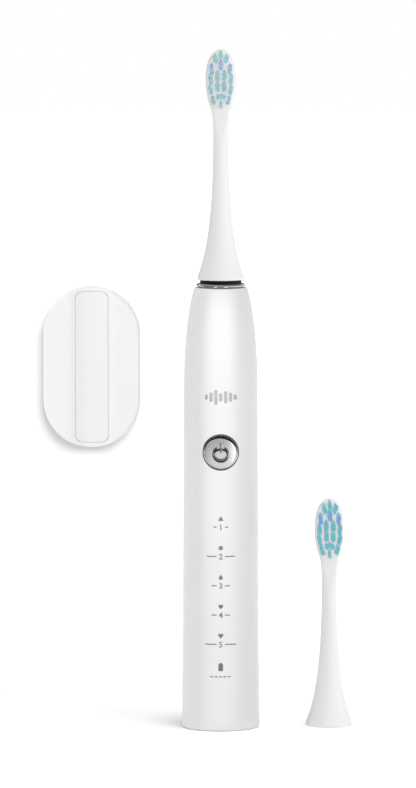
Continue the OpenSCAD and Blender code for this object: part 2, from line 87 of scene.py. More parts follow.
# ---- Handle shell ----
# One tube of white ABS, injection moulded with its rounded shoulder and a fine satin grain.
# Its front has a round hole for the button, its top a hole for the shaft, and its foot is open for the cap.
shell_low, shell_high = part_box("handle_shell")
FOOT_RADIUS = shell_high.x
WAIST_RADIUS = FOOT_RADIUS - 0.64 * MM
TOP_RADIUS = FOOT_RADIUS - 4.5 * MM
SHELL_WALL = 1.8 * MM
FOOT_ROUND = 0.5 * MM
LIP_ROUND = 0.25 * MM
SHOULDER_Z = 122.6 * MM
ROOF_THICKNESS = 3.2 * MM
NECK_HOLE_RADIUS = 5 * MM
TURN = 2 * math.pi
SHELL_COLUMNS = 144
PATCH_REACH = 15
button_low, button_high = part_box("button_frame")
BUTTON_Z = (button_low.z + button_high.z) / 2
BUTTON_HOLE_RADIUS = (button_high.z - button_low.z) / 2


def bezier(points, t):
    """Points on a cubic curve with four control points, one for each value of t."""
    p = np.array(points, float)
    t = np.asarray(t, float)[:, None]
    return (1 - t) ** 3 * p[0] + 3 * (1 - t) ** 2 * t * p[1] + 3 * (1 - t) * t * t * p[2] + t**3 * p[3]


def new_group(name, inputs, outputs):
    """An empty shader group with float inputs at the values given, and typed outputs."""
    group = bpy.data.node_groups.new(name, "ShaderNodeTree")
    for label, value in inputs.items():
        kind = "NodeSocketColor" if isinstance(value, tuple) else "NodeSocketFloat"
        group.interface.new_socket(label, in_out="INPUT", socket_type=kind).default_value = value
    for label, kind in outputs.items():
        group.interface.new_socket(label, in_out="OUTPUT", socket_type=kind)
    return group, group.nodes.new("NodeGroupInput"), group.nodes.new("NodeGroupOutput")


def place(tree, kind, **values):
    """A node of that kind. Values name its properties, or its input sockets with spaces as underscores."""
    node = tree.nodes.new(kind)
    for key, value in values.items():
        if hasattr(node, key):
            setattr(node, key, value)
        else:
            node.inputs[key.replace("_", " ")].default_value = value
    return node


def wire(tree, start, out, end, into):
    """Links one node's output to another's input, each by its name or number."""
    tree.links.new(start.outputs[out], end.inputs[into])


def moulded_group():
    """Moulded plastic: a slow drift of colour, uneven gloss, and a fine spark-eroded grain as height."""
    inputs = {"Colour": (0.8, 0.8, 0.8, 1), "Drift": 0.03, "Gloss": 0.35, "Unevenness": 0.06, "Grain": 6000.0}
    outputs = {"Colour": "NodeSocketColor", "Roughness": "NodeSocketFloat", "Height": "NodeSocketFloat"}
    group, given, out = new_group("moulded_plastic", inputs, outputs)
    where = place(group, "ShaderNodeTexCoord")
    slow = place(group, "ShaderNodeTexNoise", Scale=45.0, Detail=3.0)
    smear = place(group, "ShaderNodeTexNoise", Scale=160.0, Detail=5.0, Roughness=0.6)
    fine = place(group, "ShaderNodeTexNoise", Detail=2.0)
    centred = place(group, "ShaderNodeMath", operation="SUBTRACT")
    centred.inputs[1].default_value = 0.5
    scaled = place(group, "ShaderNodeMath", operation="MULTIPLY")
    lift = place(group, "ShaderNodeMath", operation="ADD")
    lift.inputs[1].default_value = 1.0
    tint = place(group, "ShaderNodeVectorMath", operation="SCALE")
    uneven = place(group, "ShaderNodeMath", operation="SUBTRACT")
    uneven.inputs[1].default_value = 0.5
    gloss = place(group, "ShaderNodeMath", operation="MULTIPLY_ADD")
    for texture in (slow, smear, fine):
        wire(group, where, "Object", texture, "Vector")
    wire(group, given, "Grain", fine, "Scale")
    wire(group, slow, "Fac", centred, 0)
    wire(group, centred, 0, scaled, 0)
    wire(group, given, "Drift", scaled, 1)
    wire(group, scaled, 0, lift, 0)
    wire(group, given, "Colour", tint, 0)
    wire(group, lift, 0, tint, "Scale")
    wire(group, smear, "Fac", uneven, 0)
    wire(group, uneven, 0, gloss, 0)
    wire(group, given, "Unevenness", gloss, 1)
    wire(group, given, "Gloss", gloss, 2)
    wire(group, tint, 0, out, "Colour")
    wire(group, gloss, 0, out, "Roughness")
    wire(group, fine, "Fac", out, "Height")
    return group


MOULDED = moulded_group()


def surfaced(name, group, values, bump, distance, **shader):
    """A Principled material that takes colour, roughness and height from an effect group."""
    material = bpy.data.materials.new(name)
    material.use_nodes = True
    tree = material.node_tree
    surface = tree.nodes["Principled BSDF"]
    effect = place(tree, "ShaderNodeGroup", node_tree=group)
    for label, value in values.items():
        effect.inputs[label].default_value = value
    relief = place(tree, "ShaderNodeBump", Strength=bump, Distance=distance)
    wire(tree, effect, "Colour", surface, "Base Color")
    wire(tree, effect, "Roughness", surface, "Roughness")
    wire(tree, effect, "Height", relief, "Height")
    wire(tree, relief, "Normal", surface, "Normal")
    for label, value in shader.items():
        surface.inputs[label.replace("_", " ")].default_value = value
    return material


def plastic(name, colour, gloss=0.35, bump=0.12, grain=6000.0, drift=0.03, **shader):
    """A moulded plastic or rubber of that colour, gloss and grain."""
    values = {"Colour": (*colour, 1), "Gloss": gloss, "Grain": grain, "Drift": drift}
    return surfaced(name, MOULDED, values, bump, 0.05 * MM, **shader)


def solid(name, points, faces, material, sharp=35):
    """A mesh object from points and faces, smooth but for edges sharper than the angle."""
    mesh = bpy.data.meshes.new(name)
    mesh.from_pydata([tuple(map(float, p)) for p in points], [], [tuple(map(int, f)) for f in faces])
    shape = bmesh.new()
    shape.from_mesh(mesh)
    bmesh.ops.remove_doubles(shape, verts=shape.verts, dist=1e-7)
    bmesh.ops.recalc_face_normals(shape, faces=shape.faces)
    shape.to_mesh(mesh)
    shape.free()
    mesh.shade_smooth()
    mesh.set_sharp_from_angle(angle=math.radians(sharp))
    mesh.materials.append(material)
    piece = bpy.data.objects.new(name, mesh)
    bpy.context.scene.collection.objects.link(piece)
    return piece


taper_z = np.array([shell_low.z + FOOT_ROUND, SHOULDER_Z])
shoulder = bezier([
    (WAIST_RADIUS, SHOULDER_Z), (WAIST_RADIUS, SHOULDER_Z + 27.6 * MM),
    (TOP_RADIUS + 0.4 * MM, shell_high.z - 1.75 * MM), (TOP_RADIUS, shell_high.z),
], np.linspace(0, 1, 61))


def shell_radius(z):
    """Outer radius of the handle at height z."""
    return np.interp(z, [taper_z[0], *shoulder[:, 1]], [FOOT_RADIUS, *shoulder[:, 0]])


def quarter(centre_r, centre_z, radius, start, stop, steps):
    """Profile points (radius, height) round part of a circle, by angle in degrees."""
    a = np.radians(np.linspace(start, stop, steps))
    return [(centre_r + radius * math.cos(x), centre_z + radius * math.sin(x)) for x in a]


step = TURN / SHELL_COLUMNS
reach = PATCH_REACH * step * FOOT_RADIUS
patch_z = np.linspace(BUTTON_Z - reach, BUTTON_Z + reach, 2 * PATCH_REACH + 1)
side_z = [*np.linspace(taper_z[0] + MM, patch_z[0] - 2 * MM, 16), *patch_z,
          *np.linspace(patch_z[-1] + 2 * MM, SHOULDER_Z, 4)]
roof_z = shell_high.z - ROOF_THICKNESS
lip = quarter(TOP_RADIUS - LIP_ROUND, shell_high.z - LIP_ROUND, LIP_ROUND, 20, 90, 5)
foot = quarter(FOOT_RADIUS - FOOT_ROUND, shell_low.z + FOOT_ROUND, FOOT_ROUND, -90, 0, 8)
outside = [*foot, *[(float(shell_radius(z)), z) for z in side_z],
           *[tuple(p) for p in shoulder[1:] if p[1] < shell_high.z - LIP_ROUND], *lip]
inner_z = [z for z in [*side_z, *shoulder[1::3, 1]] if z < roof_z]
inside = [(float(shell_radius(z)) - SHELL_WALL, z) for z in reversed(inner_z)]
neck_hole = [(NECK_HOLE_RADIUS, shell_high.z), (NECK_HOLE_RADIUS, roof_z), (inside[0][0], roof_z)]
profile = [*outside, *neck_hole, *inside, (FOOT_RADIUS - SHELL_WALL, shell_low.z)]


def shell_mesh():
    """The closed shell: rings of one profile, with a patch of rings round the button on both of its skins."""
    points = [(r * math.sin(k * step), -r * math.cos(k * step), z)
              for r, z in profile for k in range(SHELL_COLUMNS)]
    heights = [z for _, z in profile]
    outer_rows = [i for i, (r, z) in enumerate(profile[:len(outside)]) if patch_z[0] - 1e-9 <= z <= patch_z[-1] + 1e-9]
    first_inside = len(outside) + len(neck_hole)
    inner_rows = [i for i in range(first_inside, len(profile) - 1)
                  if patch_z[0] - 1e-9 <= heights[i] <= patch_z[-1] + 1e-9]
    columns = [k % SHELL_COLUMNS for k in range(-PATCH_REACH, PATCH_REACH + 1)]
    faces, holes = [], []
    open_cells = {(r, c) for rows in (outer_rows, inner_rows) for r in rows[:-1] for c in columns[:-1]}
    count = len(profile)
    for i in range(count):
        j = (i + 1) % count
        for k in range(SHELL_COLUMNS):
            if (i, k) not in open_cells:
                m = (k + 1) % SHELL_COLUMNS
                this, above = i * SHELL_COLUMNS, j * SHELL_COLUMNS
                faces.append([this + k, this + m, above + m, above + k])
    for rows, wall in ((outer_rows, 0.0), (inner_rows[::-1], SHELL_WALL)):
        edge = [(rows[0], c) for c in columns] + [(r, columns[-1]) for r in rows[1:]]
        edge += [(rows[-1], c) for c in columns[-2::-1]] + [(r, columns[0]) for r in rows[-2:0:-1]]
        ring = [r * SHELL_COLUMNS + c for r, c in edge]
        start = [points[v] for v in ring]
        for share in (0.3, 0.55, 0.75, 0.9, 0.97, 1.0):
            new = []
            for x, _, z in start:
                a = math.atan2(z - BUTTON_Z, x)
                hx = BUTTON_HOLE_RADIUS * math.cos(a)
                hz = BUTTON_Z + BUTTON_HOLE_RADIUS * math.sin(a)
                px, pz = x + (hx - x) * share, z + (hz - z) * share
                round_r = float(shell_radius(pz)) - wall
                new.append(len(points))
                points.append((px, -math.sqrt(round_r**2 - px**2), pz))
            faces += [[ring[a], ring[(a + 1) % len(ring)], new[(a + 1) % len(ring)], new[a]] for a in range(len(ring))]
            ring = new
        holes.append(ring)
    a, b = holes
    faces += [[a[k], a[(k + 1) % len(a)], b[(k + 1) % len(a)], b[k]] for k in range(len(a))]
    return points, faces


satin_white = plastic("satin_white_plastic", (0.86, 0.86, 0.86), gloss=0.46)
handle = solid("handle_casing", *shell_mesh(), satin_white, sharp=40)
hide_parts("handle_shell")
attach(handle, "handle")

# ---- Printed marks ----
# Six grey inlays that light up from behind, with a number pad-printed under each mode.
# A bar motif in a lighter grey is printed above the button.
PRINT_LIFT = 0.04 * MM
PRINT_ROOT = 0.25 * MM
MODE_PITCH = 10.75 * MM
MODE_DROP = 3.1 * MM
FIRST_MODE_Z = 35.2 * MM
CHARGE_Z = 23.8 * MM
DIGIT_HEIGHT = 2.05 * MM
DIGIT_WEIGHT = 0.07
DASH_THICKNESS = 0.42 * MM
DIGIT_CLEARANCE = 1.5
PRINT_ROUND = 0.08
CHARGE_DROP = 3.6 * MM
CHARGE_DASHES = 5
CHARGE_DASH_START, CHARGE_DASH_PITCH, CHARGE_DASH_LENGTH = -3.9, 1.6, 1.2
LABEL_WIDTHS = (11.6 * MM, 6.8 * MM, 6.8 * MM, 10.4 * MM, 5.4 * MM)
MOTIF_Z = 122.5 * MM
MOTIF_BARS = (1.9, 3.5, 5.5, 3.1, 4.6, 3.3, 1.9)
MOTIF_PITCH = 1.79 * MM
MOTIF_BAR = 1.22 * MM


def on_shell(u, z, lift):
    """A point at arc length u from the front line and height z, that far above the shell's surface."""
    r = float(shell_radius(z))
    a = u / r
    return (r + lift) * math.sin(a), -(r + lift) * math.cos(a), z


def badge(outline, z):
    """Points and faces of a thin inlay with that outline, a list of (u, height) in mm, wrapped on the shell."""
    n = len(outline)
    points = [on_shell(u * MM, z + v * MM, lift) for lift in (PRINT_LIFT, -PRINT_ROOT) for u, v in outline]
    faces = [list(range(n)), list(range(2 * n - 1, n - 1, -1))]
    faces += [[k, (k + 1) % n, n + (k + 1) % n, n + k] for k in range(n)]
    return points, faces


def circle_points(cx, cy, r, start=0.0, stop=360.0, steps=24):
    """Points round a circle, or round a part of it from one angle in degrees to another."""
    a = np.radians(np.linspace(start, stop, steps, endpoint=stop - start < 360))
    return [(cx + r * math.cos(x), cy + r * math.sin(x)) for x in a]


def rounded(corners, r, steps=4):
    """An outline with its corners cut back by r and rounded."""
    out = []
    n = len(corners)
    for i in range(n):
        p, a, b = (Vector(corners[j % n]) for j in (i, i - 1, i + 1))
        start, stop = p + (a - p).normalized() * r, p + (b - p).normalized() * r
        out += [tuple(start * (1 - t) ** 2 + p * 2 * t * (1 - t) + stop * t * t) for t in np.linspace(0, 1, steps)]
    return out


heart = [(0, -0.9), (0.55, -0.35), (0.92, 0.2), *circle_points(0.46, 0.38, 0.48, 0, 150, 8),
         *circle_points(-0.46, 0.38, 0.48, 30, 180, 8), (-0.92, 0.2), (-0.55, -0.35)]
shield = [(0, -0.86), (0.62, -0.4), (0.86, 0.2), (0.86, 0.62), (0.45, 0.78), (0, 0.62),
          (-0.45, 0.78), (-0.86, 0.62), (-0.86, 0.2), (-0.62, -0.4)]
drop = [*circle_points(0, -0.2, 0.76, 150, 390, 20), (0.38, 0.5), (0, 1.0), (-0.38, 0.5)]
disc = circle_points(0, 0, 0.82)
triangle = rounded([(-1.02, -0.82), (1.02, -0.82), (0, 0.98)], 0.22)
cell = rounded([(-0.84, -1.5), (0.84, -1.5), (0.84, 1.12), (0.42, 1.12), (0.42, 1.55), (-0.42, 1.55),
                (-0.42, 1.12), (-0.84, 1.12)], 0.12, 3)
mode_places = [FIRST_MODE_Z + k * MODE_PITCH for k in range(5)]


def joined(parts):
    """One list of points and one of faces from several (points, faces) pairs."""
    points, faces = [], []
    for p, f in parts:
        faces += [[v + len(points) for v in face] for face in f]
        points += p
    return points, faces


inlay_grey = plastic("inlay_grey", (0.11, 0.11, 0.113), gloss=0.3, bump=0.05)
outlines = [(cell, CHARGE_Z), *zip((heart, shield, drop, disc, triangle), mode_places)]
marks = solid("mode_marks", *joined([badge(o, z) for o, z in outlines]), inlay_grey)
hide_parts("mode_windows")
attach(marks, "handle")


def digit(text, z):
    """Points and faces of a number in the plain built-in font, wrapped on the shell below its mark."""
    curve = bpy.data.curves.new("digit", "FONT")
    curve.body = text
    curve.size = DIGIT_HEIGHT * 1.42
    curve.offset = DIGIT_WEIGHT * MM
    curve.align_x = "CENTER"
    curve.extrude = (PRINT_LIFT + PRINT_ROOT) / 2
    holder = bpy.data.objects.new("digit", curve)
    mesh = bpy.data.meshes.new_from_object(holder)
    points = [on_shell(v.co.x, z + v.co.y - DIGIT_HEIGHT / 2, v.co.z + (PRINT_LIFT - PRINT_ROOT) / 2)
              for v in mesh.vertices]
    faces = [list(p.vertices) for p in mesh.polygons]
    bpy.data.objects.remove(holder)
    bpy.data.meshes.remove(mesh)
    bpy.data.curves.remove(curve)
    return points, faces


def bar(u0, u1, v0, v1, z, round_r):
    """A thin bar in mm with blunted ends, in short lengths so that it follows the shell."""
    inner = np.linspace(u0 + round_r, u1 - round_r, max(2, round((u1 - u0) / 0.4)))
    middle = (v0 + v1) / 2
    points, faces = [], []
    for u in (u0, *inner, u1):
        thin = 0.5 if u in (u0, u1) else 1.0
        low_v, high_v = middle + (v0 - middle) * thin, middle + (v1 - middle) * thin
        corners = ((low_v, PRINT_LIFT), (high_v, PRINT_LIFT), (high_v, -PRINT_ROOT), (low_v, -PRINT_ROOT))
        points += [on_shell(u * MM, z + v * MM, lift) for v, lift in corners]
    rows = len(inner) + 2
    for i in range(rows - 1):
        faces += [[4 * i + k, 4 * i + (k + 1) % 4, 4 * i + 4 + (k + 1) % 4, 4 * i + 4 + k] for k in range(4)]
    return points, [*faces, [0, 1, 2, 3], [4 * rows - 1 - k for k in range(4)]]


labels = []
for number, (width, z) in enumerate(zip(LABEL_WIDTHS, mode_places)):
    base = z - MODE_DROP
    half = width / 2 / MM
    thin = DASH_THICKNESS / 2 / MM
    labels.append(digit(str(5 - number), base))
    for start, stop in ((-half, -DIGIT_CLEARANCE), (DIGIT_CLEARANCE, half)):
        labels.append(bar(start, stop, -thin, thin, base, PRINT_ROUND))
for k in range(CHARGE_DASHES):
    start = CHARGE_DASH_START + CHARGE_DASH_PITCH * k
    labels.append(bar(start, start + CHARGE_DASH_LENGTH, -0.2, 0.2, CHARGE_Z - CHARGE_DROP, PRINT_ROUND))
ink_grey = plastic("ink_grey", (0.16, 0.16, 0.163), gloss=0.45, bump=0.03)
numbers = solid("mode_numbers", *joined(labels), ink_grey)
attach(numbers, "handle")

bars = []
for k, height in enumerate(MOTIF_BARS):
    u = (k - (len(MOTIF_BARS) - 1) / 2) * MOTIF_PITCH / MM
    half = MOTIF_BAR / 2 / MM
    outline = [*circle_points(u, height / 2 - half, half, 0, 180, 9),
               *circle_points(u, -height / 2 + half, half, 180, 359.9, 9)]
    bars.append(badge(outline, MOTIF_Z))
motif_grey = plastic("motif_grey", (0.36, 0.36, 0.365), gloss=0.4, bump=0.03)
motif = solid("bar_motif", *joined(bars), motif_grey)
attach(motif, "handle")

# ---- Chrome ring and its gasket ----
# A brass ring with a bullnose edge, chrome plated, pressed on the top of the shell.
# A black rubber collar stands in its well and fills the gap under the skirt.
ring_low, ring_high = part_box("chrome_ring")
gasket_low, gasket_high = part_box("neck_gasket")


def lathe(name, outline, material, columns=96, sharp=35):
    """A closed ring turned from a closed outline of (radius, height) points."""
    n = len(outline)
    points = [(r * math.sin(k * TURN / columns), -r * math.cos(k * TURN / columns), z)
              for r, z in outline for k in range(columns)]
    faces = [[i * columns + k, i * columns + (k + 1) % columns,
              (i + 1) % n * columns + (k + 1) % columns, (i + 1) % n * columns + k]
             for i in range(n) for k in range(columns)]
    return solid(name, points, faces, material, sharp)


def plated_group():
    """Bright metal: faint wiping marks in the gloss and a trace of dust tone."""
    inputs = {"Colour": (0.8, 0.8, 0.8, 1), "Gloss": 0.08, "Unevenness": 0.05, "Scale": 300.0}
    outputs = {"Colour": "NodeSocketColor", "Roughness": "NodeSocketFloat", "Height": "NodeSocketFloat"}
    group, given, out = new_group("plated_metal", inputs, outputs)
    where = place(group, "ShaderNodeTexCoord")
    smear = place(group, "ShaderNodeTexNoise", Detail=4.0, Roughness=0.65)
    waviness = place(group, "ShaderNodeTexNoise", Scale=90.0, Detail=1.0)
    gloss = place(group, "ShaderNodeMath", operation="MULTIPLY_ADD")
    shade = place(group, "ShaderNodeMapRange", From_Min=0.3, From_Max=0.7, To_Min=0.94, To_Max=1.0)
    tint = place(group, "ShaderNodeVectorMath", operation="SCALE")
    wire(group, where, "Object", smear, "Vector")
    wire(group, where, "Object", waviness, "Vector")
    wire(group, given, "Scale", smear, "Scale")
    wire(group, smear, "Fac", gloss, 0)
    wire(group, given, "Unevenness", gloss, 1)
    wire(group, given, "Gloss", gloss, 2)
    wire(group, smear, "Fac", shade, "Value")
    wire(group, given, "Colour", tint, 0)
    wire(group, shade, "Result", tint, "Scale")
    wire(group, tint, 0, out, "Colour")
    wire(group, gloss, 0, out, "Roughness")
    wire(group, waviness, "Fac", out, "Height")
    return group


PLATED = plated_group()


def metal(name, colour, gloss, uneven=0.05, scale=300.0, bump=0.02, **shader):
    """A bare or plated metal of that colour and gloss, with wiping marks at that scale."""
    values = {"Colour": (*colour, 1), "Gloss": gloss, "Unevenness": uneven, "Scale": scale}
    return surfaced(name, PLATED, values, bump, 0.1 * MM, Metallic=1.0, **shader)


chrome = metal("chrome_plate", (0.78, 0.79, 0.81), 0.05)
dark_chrome = metal("dark_chrome_plate", (0.42, 0.43, 0.45), 0.05)
black_rubber = plastic("black_rubber", (0.007, 0.007, 0.0075), gloss=0.6, bump=0.3, grain=4000.0,
                       Specular_IOR_Level=0.25)
RING_WELL_RADIUS = 7.6 * MM
WELL_ROUND = 0.2 * MM
ring_round = (ring_high.z - ring_low.z) / 2
crest = ring_high.x - ring_round
ring_outline = [
    (NECK_HOLE_RADIUS, ring_low.z), (crest, ring_low.z),
    *quarter(crest, ring_low.z + ring_round, ring_round, -80, 90, 15),
    (RING_WELL_RADIUS + WELL_ROUND, ring_high.z),
    *quarter(RING_WELL_RADIUS + WELL_ROUND, ring_high.z - WELL_ROUND, WELL_ROUND, 110, 180, 4),
    (RING_WELL_RADIUS, gasket_low.z), (NECK_HOLE_RADIUS, gasket_low.z),
]
neck_ring = lathe("neck_ring", ring_outline, dark_chrome, 128)
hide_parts("chrome_ring")
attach(neck_ring, "handle")
GASKET_ROUND = 0.3 * MM
GASKET_PLAY = 0.02 * MM
gasket_outline = [
    (NECK_HOLE_RADIUS, gasket_low.z), (RING_WELL_RADIUS - GASKET_PLAY, gasket_low.z),
    *quarter(RING_WELL_RADIUS - GASKET_ROUND, gasket_high.z - GASKET_ROUND, GASKET_ROUND, 0, 90, 5),
    *quarter(NECK_HOLE_RADIUS + GASKET_ROUND, gasket_high.z - GASKET_ROUND, GASKET_ROUND, 90, 180, 5),
]
gasket = lathe("ring_gasket", gasket_outline, black_rubber)
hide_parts("neck_gasket")
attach(gasket, "handle")

# ---- Power button ----
# A dark plastic frame, a chrome plated rim and a satin metal disc that share the round of the handle. The frame is a
# real part, and its near-black colour is also painted shade of the narrow gap round the button.
# The rim slopes in to the disc, most of all at its top. The power symbol is a raised bead in a darker plate,
# pressed on the disc round a small bright bowl.
DISH_DEPTH = 0.45 * MM
DISH_HOLLOW = 0.12 * MM
RIM_HEIGHT = 0.3 * MM
RIM_DEPTH = 0.8 * MM
SYMBOL_DROP = 0.7 * MM
SYMBOL_RADIUS = 3.15 * MM
SYMBOL_WIDTH = 0.95 * MM
SYMBOL_HEIGHT = 0.5 * MM
BEAD_ROOT = 0.04 * MM
FACE_RADIUS = float(shell_radius(BUTTON_Z))


def dial(name, outline, material, closed=True, drop=0.0, crest=90, columns=128, sharp=35):
    """A round piece across the handle, with its centre that far below the button's.

    Each outline point is (radius, height above the handle's own round, how far it draws in at the crest).
    """
    points, faces = [], []
    for r, h, inset in outline:
        for k in range(columns):
            a = k * TURN / columns
            near = r - inset * max(0.0, math.cos(a - math.radians(crest))) ** 1.4
            x, z = near * math.cos(a), near * math.sin(a) - drop
            points.append((x, -math.sqrt(FACE_RADIUS**2 - x * x) - h, BUTTON_Z + z))
    n = len(outline)
    for i in range(n if closed else n - 1):
        for k in range(columns):
            m = (k + 1) % columns
            j = (i + 1) % n
            faces.append([i * columns + k, i * columns + m, j * columns + m, j * columns + k])
    if not closed:
        for row in (0, n - 1):
            centre = len(points)
            points.append((0, -FACE_RADIUS - outline[row][1], BUTTON_Z))
            faces += [[row * columns + k, row * columns + (k + 1) % columns, centre] for k in range(columns)]
    return solid(name, points, faces, material, sharp)


dark_plastic = plastic("dark_plastic", (0.012, 0.012, 0.013), gloss=0.5, bump=0.08, Specular_IOR_Level=0.15)
FRAME_WIDTH = 0.32 * MM
FRAME_SUNK = 0.08 * MM
frame_outline = [(BUTTON_HOLE_RADIUS, -1.2 * MM, 0), (BUTTON_HOLE_RADIUS, -FRAME_SUNK, 0),
                 (BUTTON_HOLE_RADIUS - FRAME_WIDTH, -FRAME_SUNK, 0), (BUTTON_HOLE_RADIUS - FRAME_WIDTH, -1.2 * MM, 0)]
# The frame's near-black, low-gloss colour is painted shade of the gap round the button.
button_frame = dial("button_surround", frame_outline, dark_plastic)
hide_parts("button_frame")
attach(button_frame, "handle")

RIM_OUTSIDE = BUTTON_HOLE_RADIUS - FRAME_WIDTH - 0.02 * MM
CREST = 0.95 * MM
CREST_ANGLE = 80
disc_radius = RIM_OUTSIDE - 0.4 * MM
bevel_steps = np.linspace(0, 1, 12)
bevel = bezier([
    (RIM_OUTSIDE - 0.1 * MM, RIM_HEIGHT), (RIM_OUTSIDE - 0.15 * MM, RIM_HEIGHT - 0.06 * MM),
    (disc_radius + 0.12 * MM, 0.24 * MM - DISH_DEPTH), (disc_radius, -DISH_DEPTH),
], bevel_steps)
rim_outline = [
    (RIM_OUTSIDE, -RIM_DEPTH, 0), (RIM_OUTSIDE, RIM_HEIGHT - 0.1 * MM, 0),
    *[(*p, 0) for p in quarter(RIM_OUTSIDE - 0.1 * MM, RIM_HEIGHT - 0.1 * MM, 0.1 * MM, 15, 75, 4)],
    *[(*p, CREST * t) for p, t in zip(bevel, bevel_steps)],
    (disc_radius - 0.1 * MM, -DISH_DEPTH - 0.3 * MM, CREST), (disc_radius - 0.1 * MM, -RIM_DEPTH, CREST),
]
rim = dial("button_rim_ring", rim_outline, chrome, crest=CREST_ANGLE)
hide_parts("button_rim")
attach(rim, "power_button")


def spun_group():
    """Turned metal: fine rings about the button's centre, as a change of gloss and a low relief."""
    inputs = {"Colour": (0.6, 0.6, 0.6, 1), "Gloss": 0.3, "Rings": 5000.0}
    outputs = {"Colour": "NodeSocketColor", "Roughness": "NodeSocketFloat", "Height": "NodeSocketFloat"}
    group, given, out = new_group("spun_metal", inputs, outputs)
    where = place(group, "ShaderNodeTexCoord")
    centre = place(group, "ShaderNodeMapping")
    centre.inputs["Location"].default_value = (0, 0, -BUTTON_Z)
    flat = place(group, "ShaderNodeVectorMath", operation="MULTIPLY")
    flat.inputs[1].default_value = (1, 0, 1)
    distance = place(group, "ShaderNodeVectorMath", operation="LENGTH")
    count = place(group, "ShaderNodeMath", operation="MULTIPLY")
    streaks = place(group, "ShaderNodeTexNoise", noise_dimensions="1D", Scale=1.0, Detail=2.0)
    gloss = place(group, "ShaderNodeMapRange", From_Min=0.3, From_Max=0.7, To_Min=-0.05, To_Max=0.05)
    add = place(group, "ShaderNodeMath", operation="ADD")
    shade = place(group, "ShaderNodeMapRange", From_Min=0.3, From_Max=0.7, To_Min=0.95, To_Max=1.0)
    tint = place(group, "ShaderNodeVectorMath", operation="SCALE")
    wire(group, where, "Object", centre, "Vector")
    wire(group, centre, 0, flat, 0)
    wire(group, flat, 0, distance, 0)
    wire(group, distance, "Value", count, 0)
    wire(group, given, "Rings", count, 1)
    wire(group, count, 0, streaks, "W")
    wire(group, streaks, "Fac", gloss, "Value")
    wire(group, gloss, "Result", add, 0)
    wire(group, given, "Gloss", add, 1)
    wire(group, streaks, "Fac", shade, "Value")
    wire(group, given, "Colour", tint, 0)
    wire(group, shade, "Result", tint, "Scale")
    wire(group, tint, 0, out, "Colour")
    wire(group, add, 0, out, "Roughness")
    wire(group, streaks, "Fac", out, "Height")
    return group


spun_values = {"Colour": (0.6, 0.6, 0.615, 1), "Gloss": 0.27}
spun_metal = surfaced("spun_metal", spun_group(), spun_values, 0.06, 0.02 * MM, Metallic=1.0)
disc_outline = [(disc_radius, -DISH_DEPTH - 0.35 * MM, CREST), (disc_radius, -DISH_DEPTH - 0.01 * MM, CREST)]
disc_outline += [(t * disc_radius, -DISH_DEPTH - DISH_HOLLOW * (1 - t * t), CREST * t)
                 for t in (0.95, 0.88, 0.76, 0.56, 0.32, 0.1)]
button_disc = dial("button_disc", disc_outline, spun_metal, closed=False, crest=CREST_ANGLE)
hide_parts("button_cap")
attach(button_disc, "power_button")


def bead(path, widths, height, sides=10):
    """Points and faces of a raised bead with round ends along a path of (x, z), as wide as stated at each point."""
    path = [Vector(p) for p in path]
    points, faces, rows = [], [], []
    steps = len(path)
    for i, p in enumerate(path):
        along = (path[min(i + 1, steps - 1)] - path[max(i - 1, 0)]).normalized()
        across = Vector((-along.y, along.x))
        row = []
        for k in range(sides + 1):
            a = math.pi * k / sides
            q = p + across * math.cos(a) * widths[i] / 2
            lift = math.sin(a) ** 0.8 * height - BEAD_ROOT
            row.append(len(points))
            points.append(dish_point(q, lift))
        rows.append(row)
    for a, b in zip(rows, rows[1:]):
        faces += [[a[k], a[k + 1], b[k + 1], b[k]] for k in range(sides)] + [[a[0], b[0], b[-1], a[-1]]]
    for row, p, inner, width in ((rows[0], path[0], path[1], widths[0]), (rows[-1], path[-1], path[-2], widths[-1])):
        out = (p - inner).normalized()
        across = Vector((-out.y, out.x))
        last = row if (Vector(points[row[0]][::2]) - Vector((0, BUTTON_Z)) - p).dot(across) > 0 else row[::-1]
        for turn in (0.35, 0.7, 0.93, 1.0):
            new = []
            shrink = math.cos(turn * math.pi / 2)
            for k in range(sides + 1):
                a = math.pi * k / sides
                q = p + across * math.cos(a) * width / 2 * shrink + out * math.sin(turn * math.pi / 2) * width / 2
                new.append(len(points))
                points.append(dish_point(q, math.sin(a) ** 0.8 * height * shrink - BEAD_ROOT))
            faces += [[last[k], last[k + 1], new[k + 1], new[k]] for k in range(sides)]
            faces.append([last[0], new[0], new[-1], last[-1]])
            last = new
    return points, faces


def dish_point(q, lift):
    """A point over the disc, q from its centre, that far above its dished face."""
    r = q.length
    depth = DISH_DEPTH + DISH_HOLLOW * max(0.0, 1 - (r / disc_radius) ** 2)
    return q.x, -math.sqrt(FACE_RADIUS**2 - q.x**2) + depth - lift, BUTTON_Z + q.y


smoked_chrome = metal("smoked_chrome_plate", (0.26, 0.265, 0.275), 0.12)
arc_angles = np.radians(np.linspace(128, 412, 60))
arc_widths = SYMBOL_WIDTH * (1 + 0.6 * np.clip(-np.sin(arc_angles), 0, 1) ** 1.2)
arc_path = [((SYMBOL_RADIUS - w / 2) * math.cos(a), (SYMBOL_RADIUS - w / 2) * math.sin(a) - SYMBOL_DROP)
            for a, w in zip(arc_angles, arc_widths)]
stem_path = [(0, z * MM) for z in np.linspace(0.3, 3.1, 12)]
stem_widths = [0.8 * SYMBOL_WIDTH] * len(stem_path)
beads = [bead(arc_path, arc_widths, SYMBOL_HEIGHT), bead(stem_path, stem_widths, SYMBOL_HEIGHT)]
symbol = solid("power_symbol_bead", *joined(beads), smoked_chrome, 60)
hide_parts("power_symbol")
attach(symbol, "power_button")
BOWL_HEIGHT = 0.3 * MM
BOWL_CREST = 0.7 * MM
BOWL_ROOT = 0.2 * MM
bowl_outside = SYMBOL_RADIUS - SYMBOL_WIDTH
bowl_inside = bowl_outside - 0.15 * MM
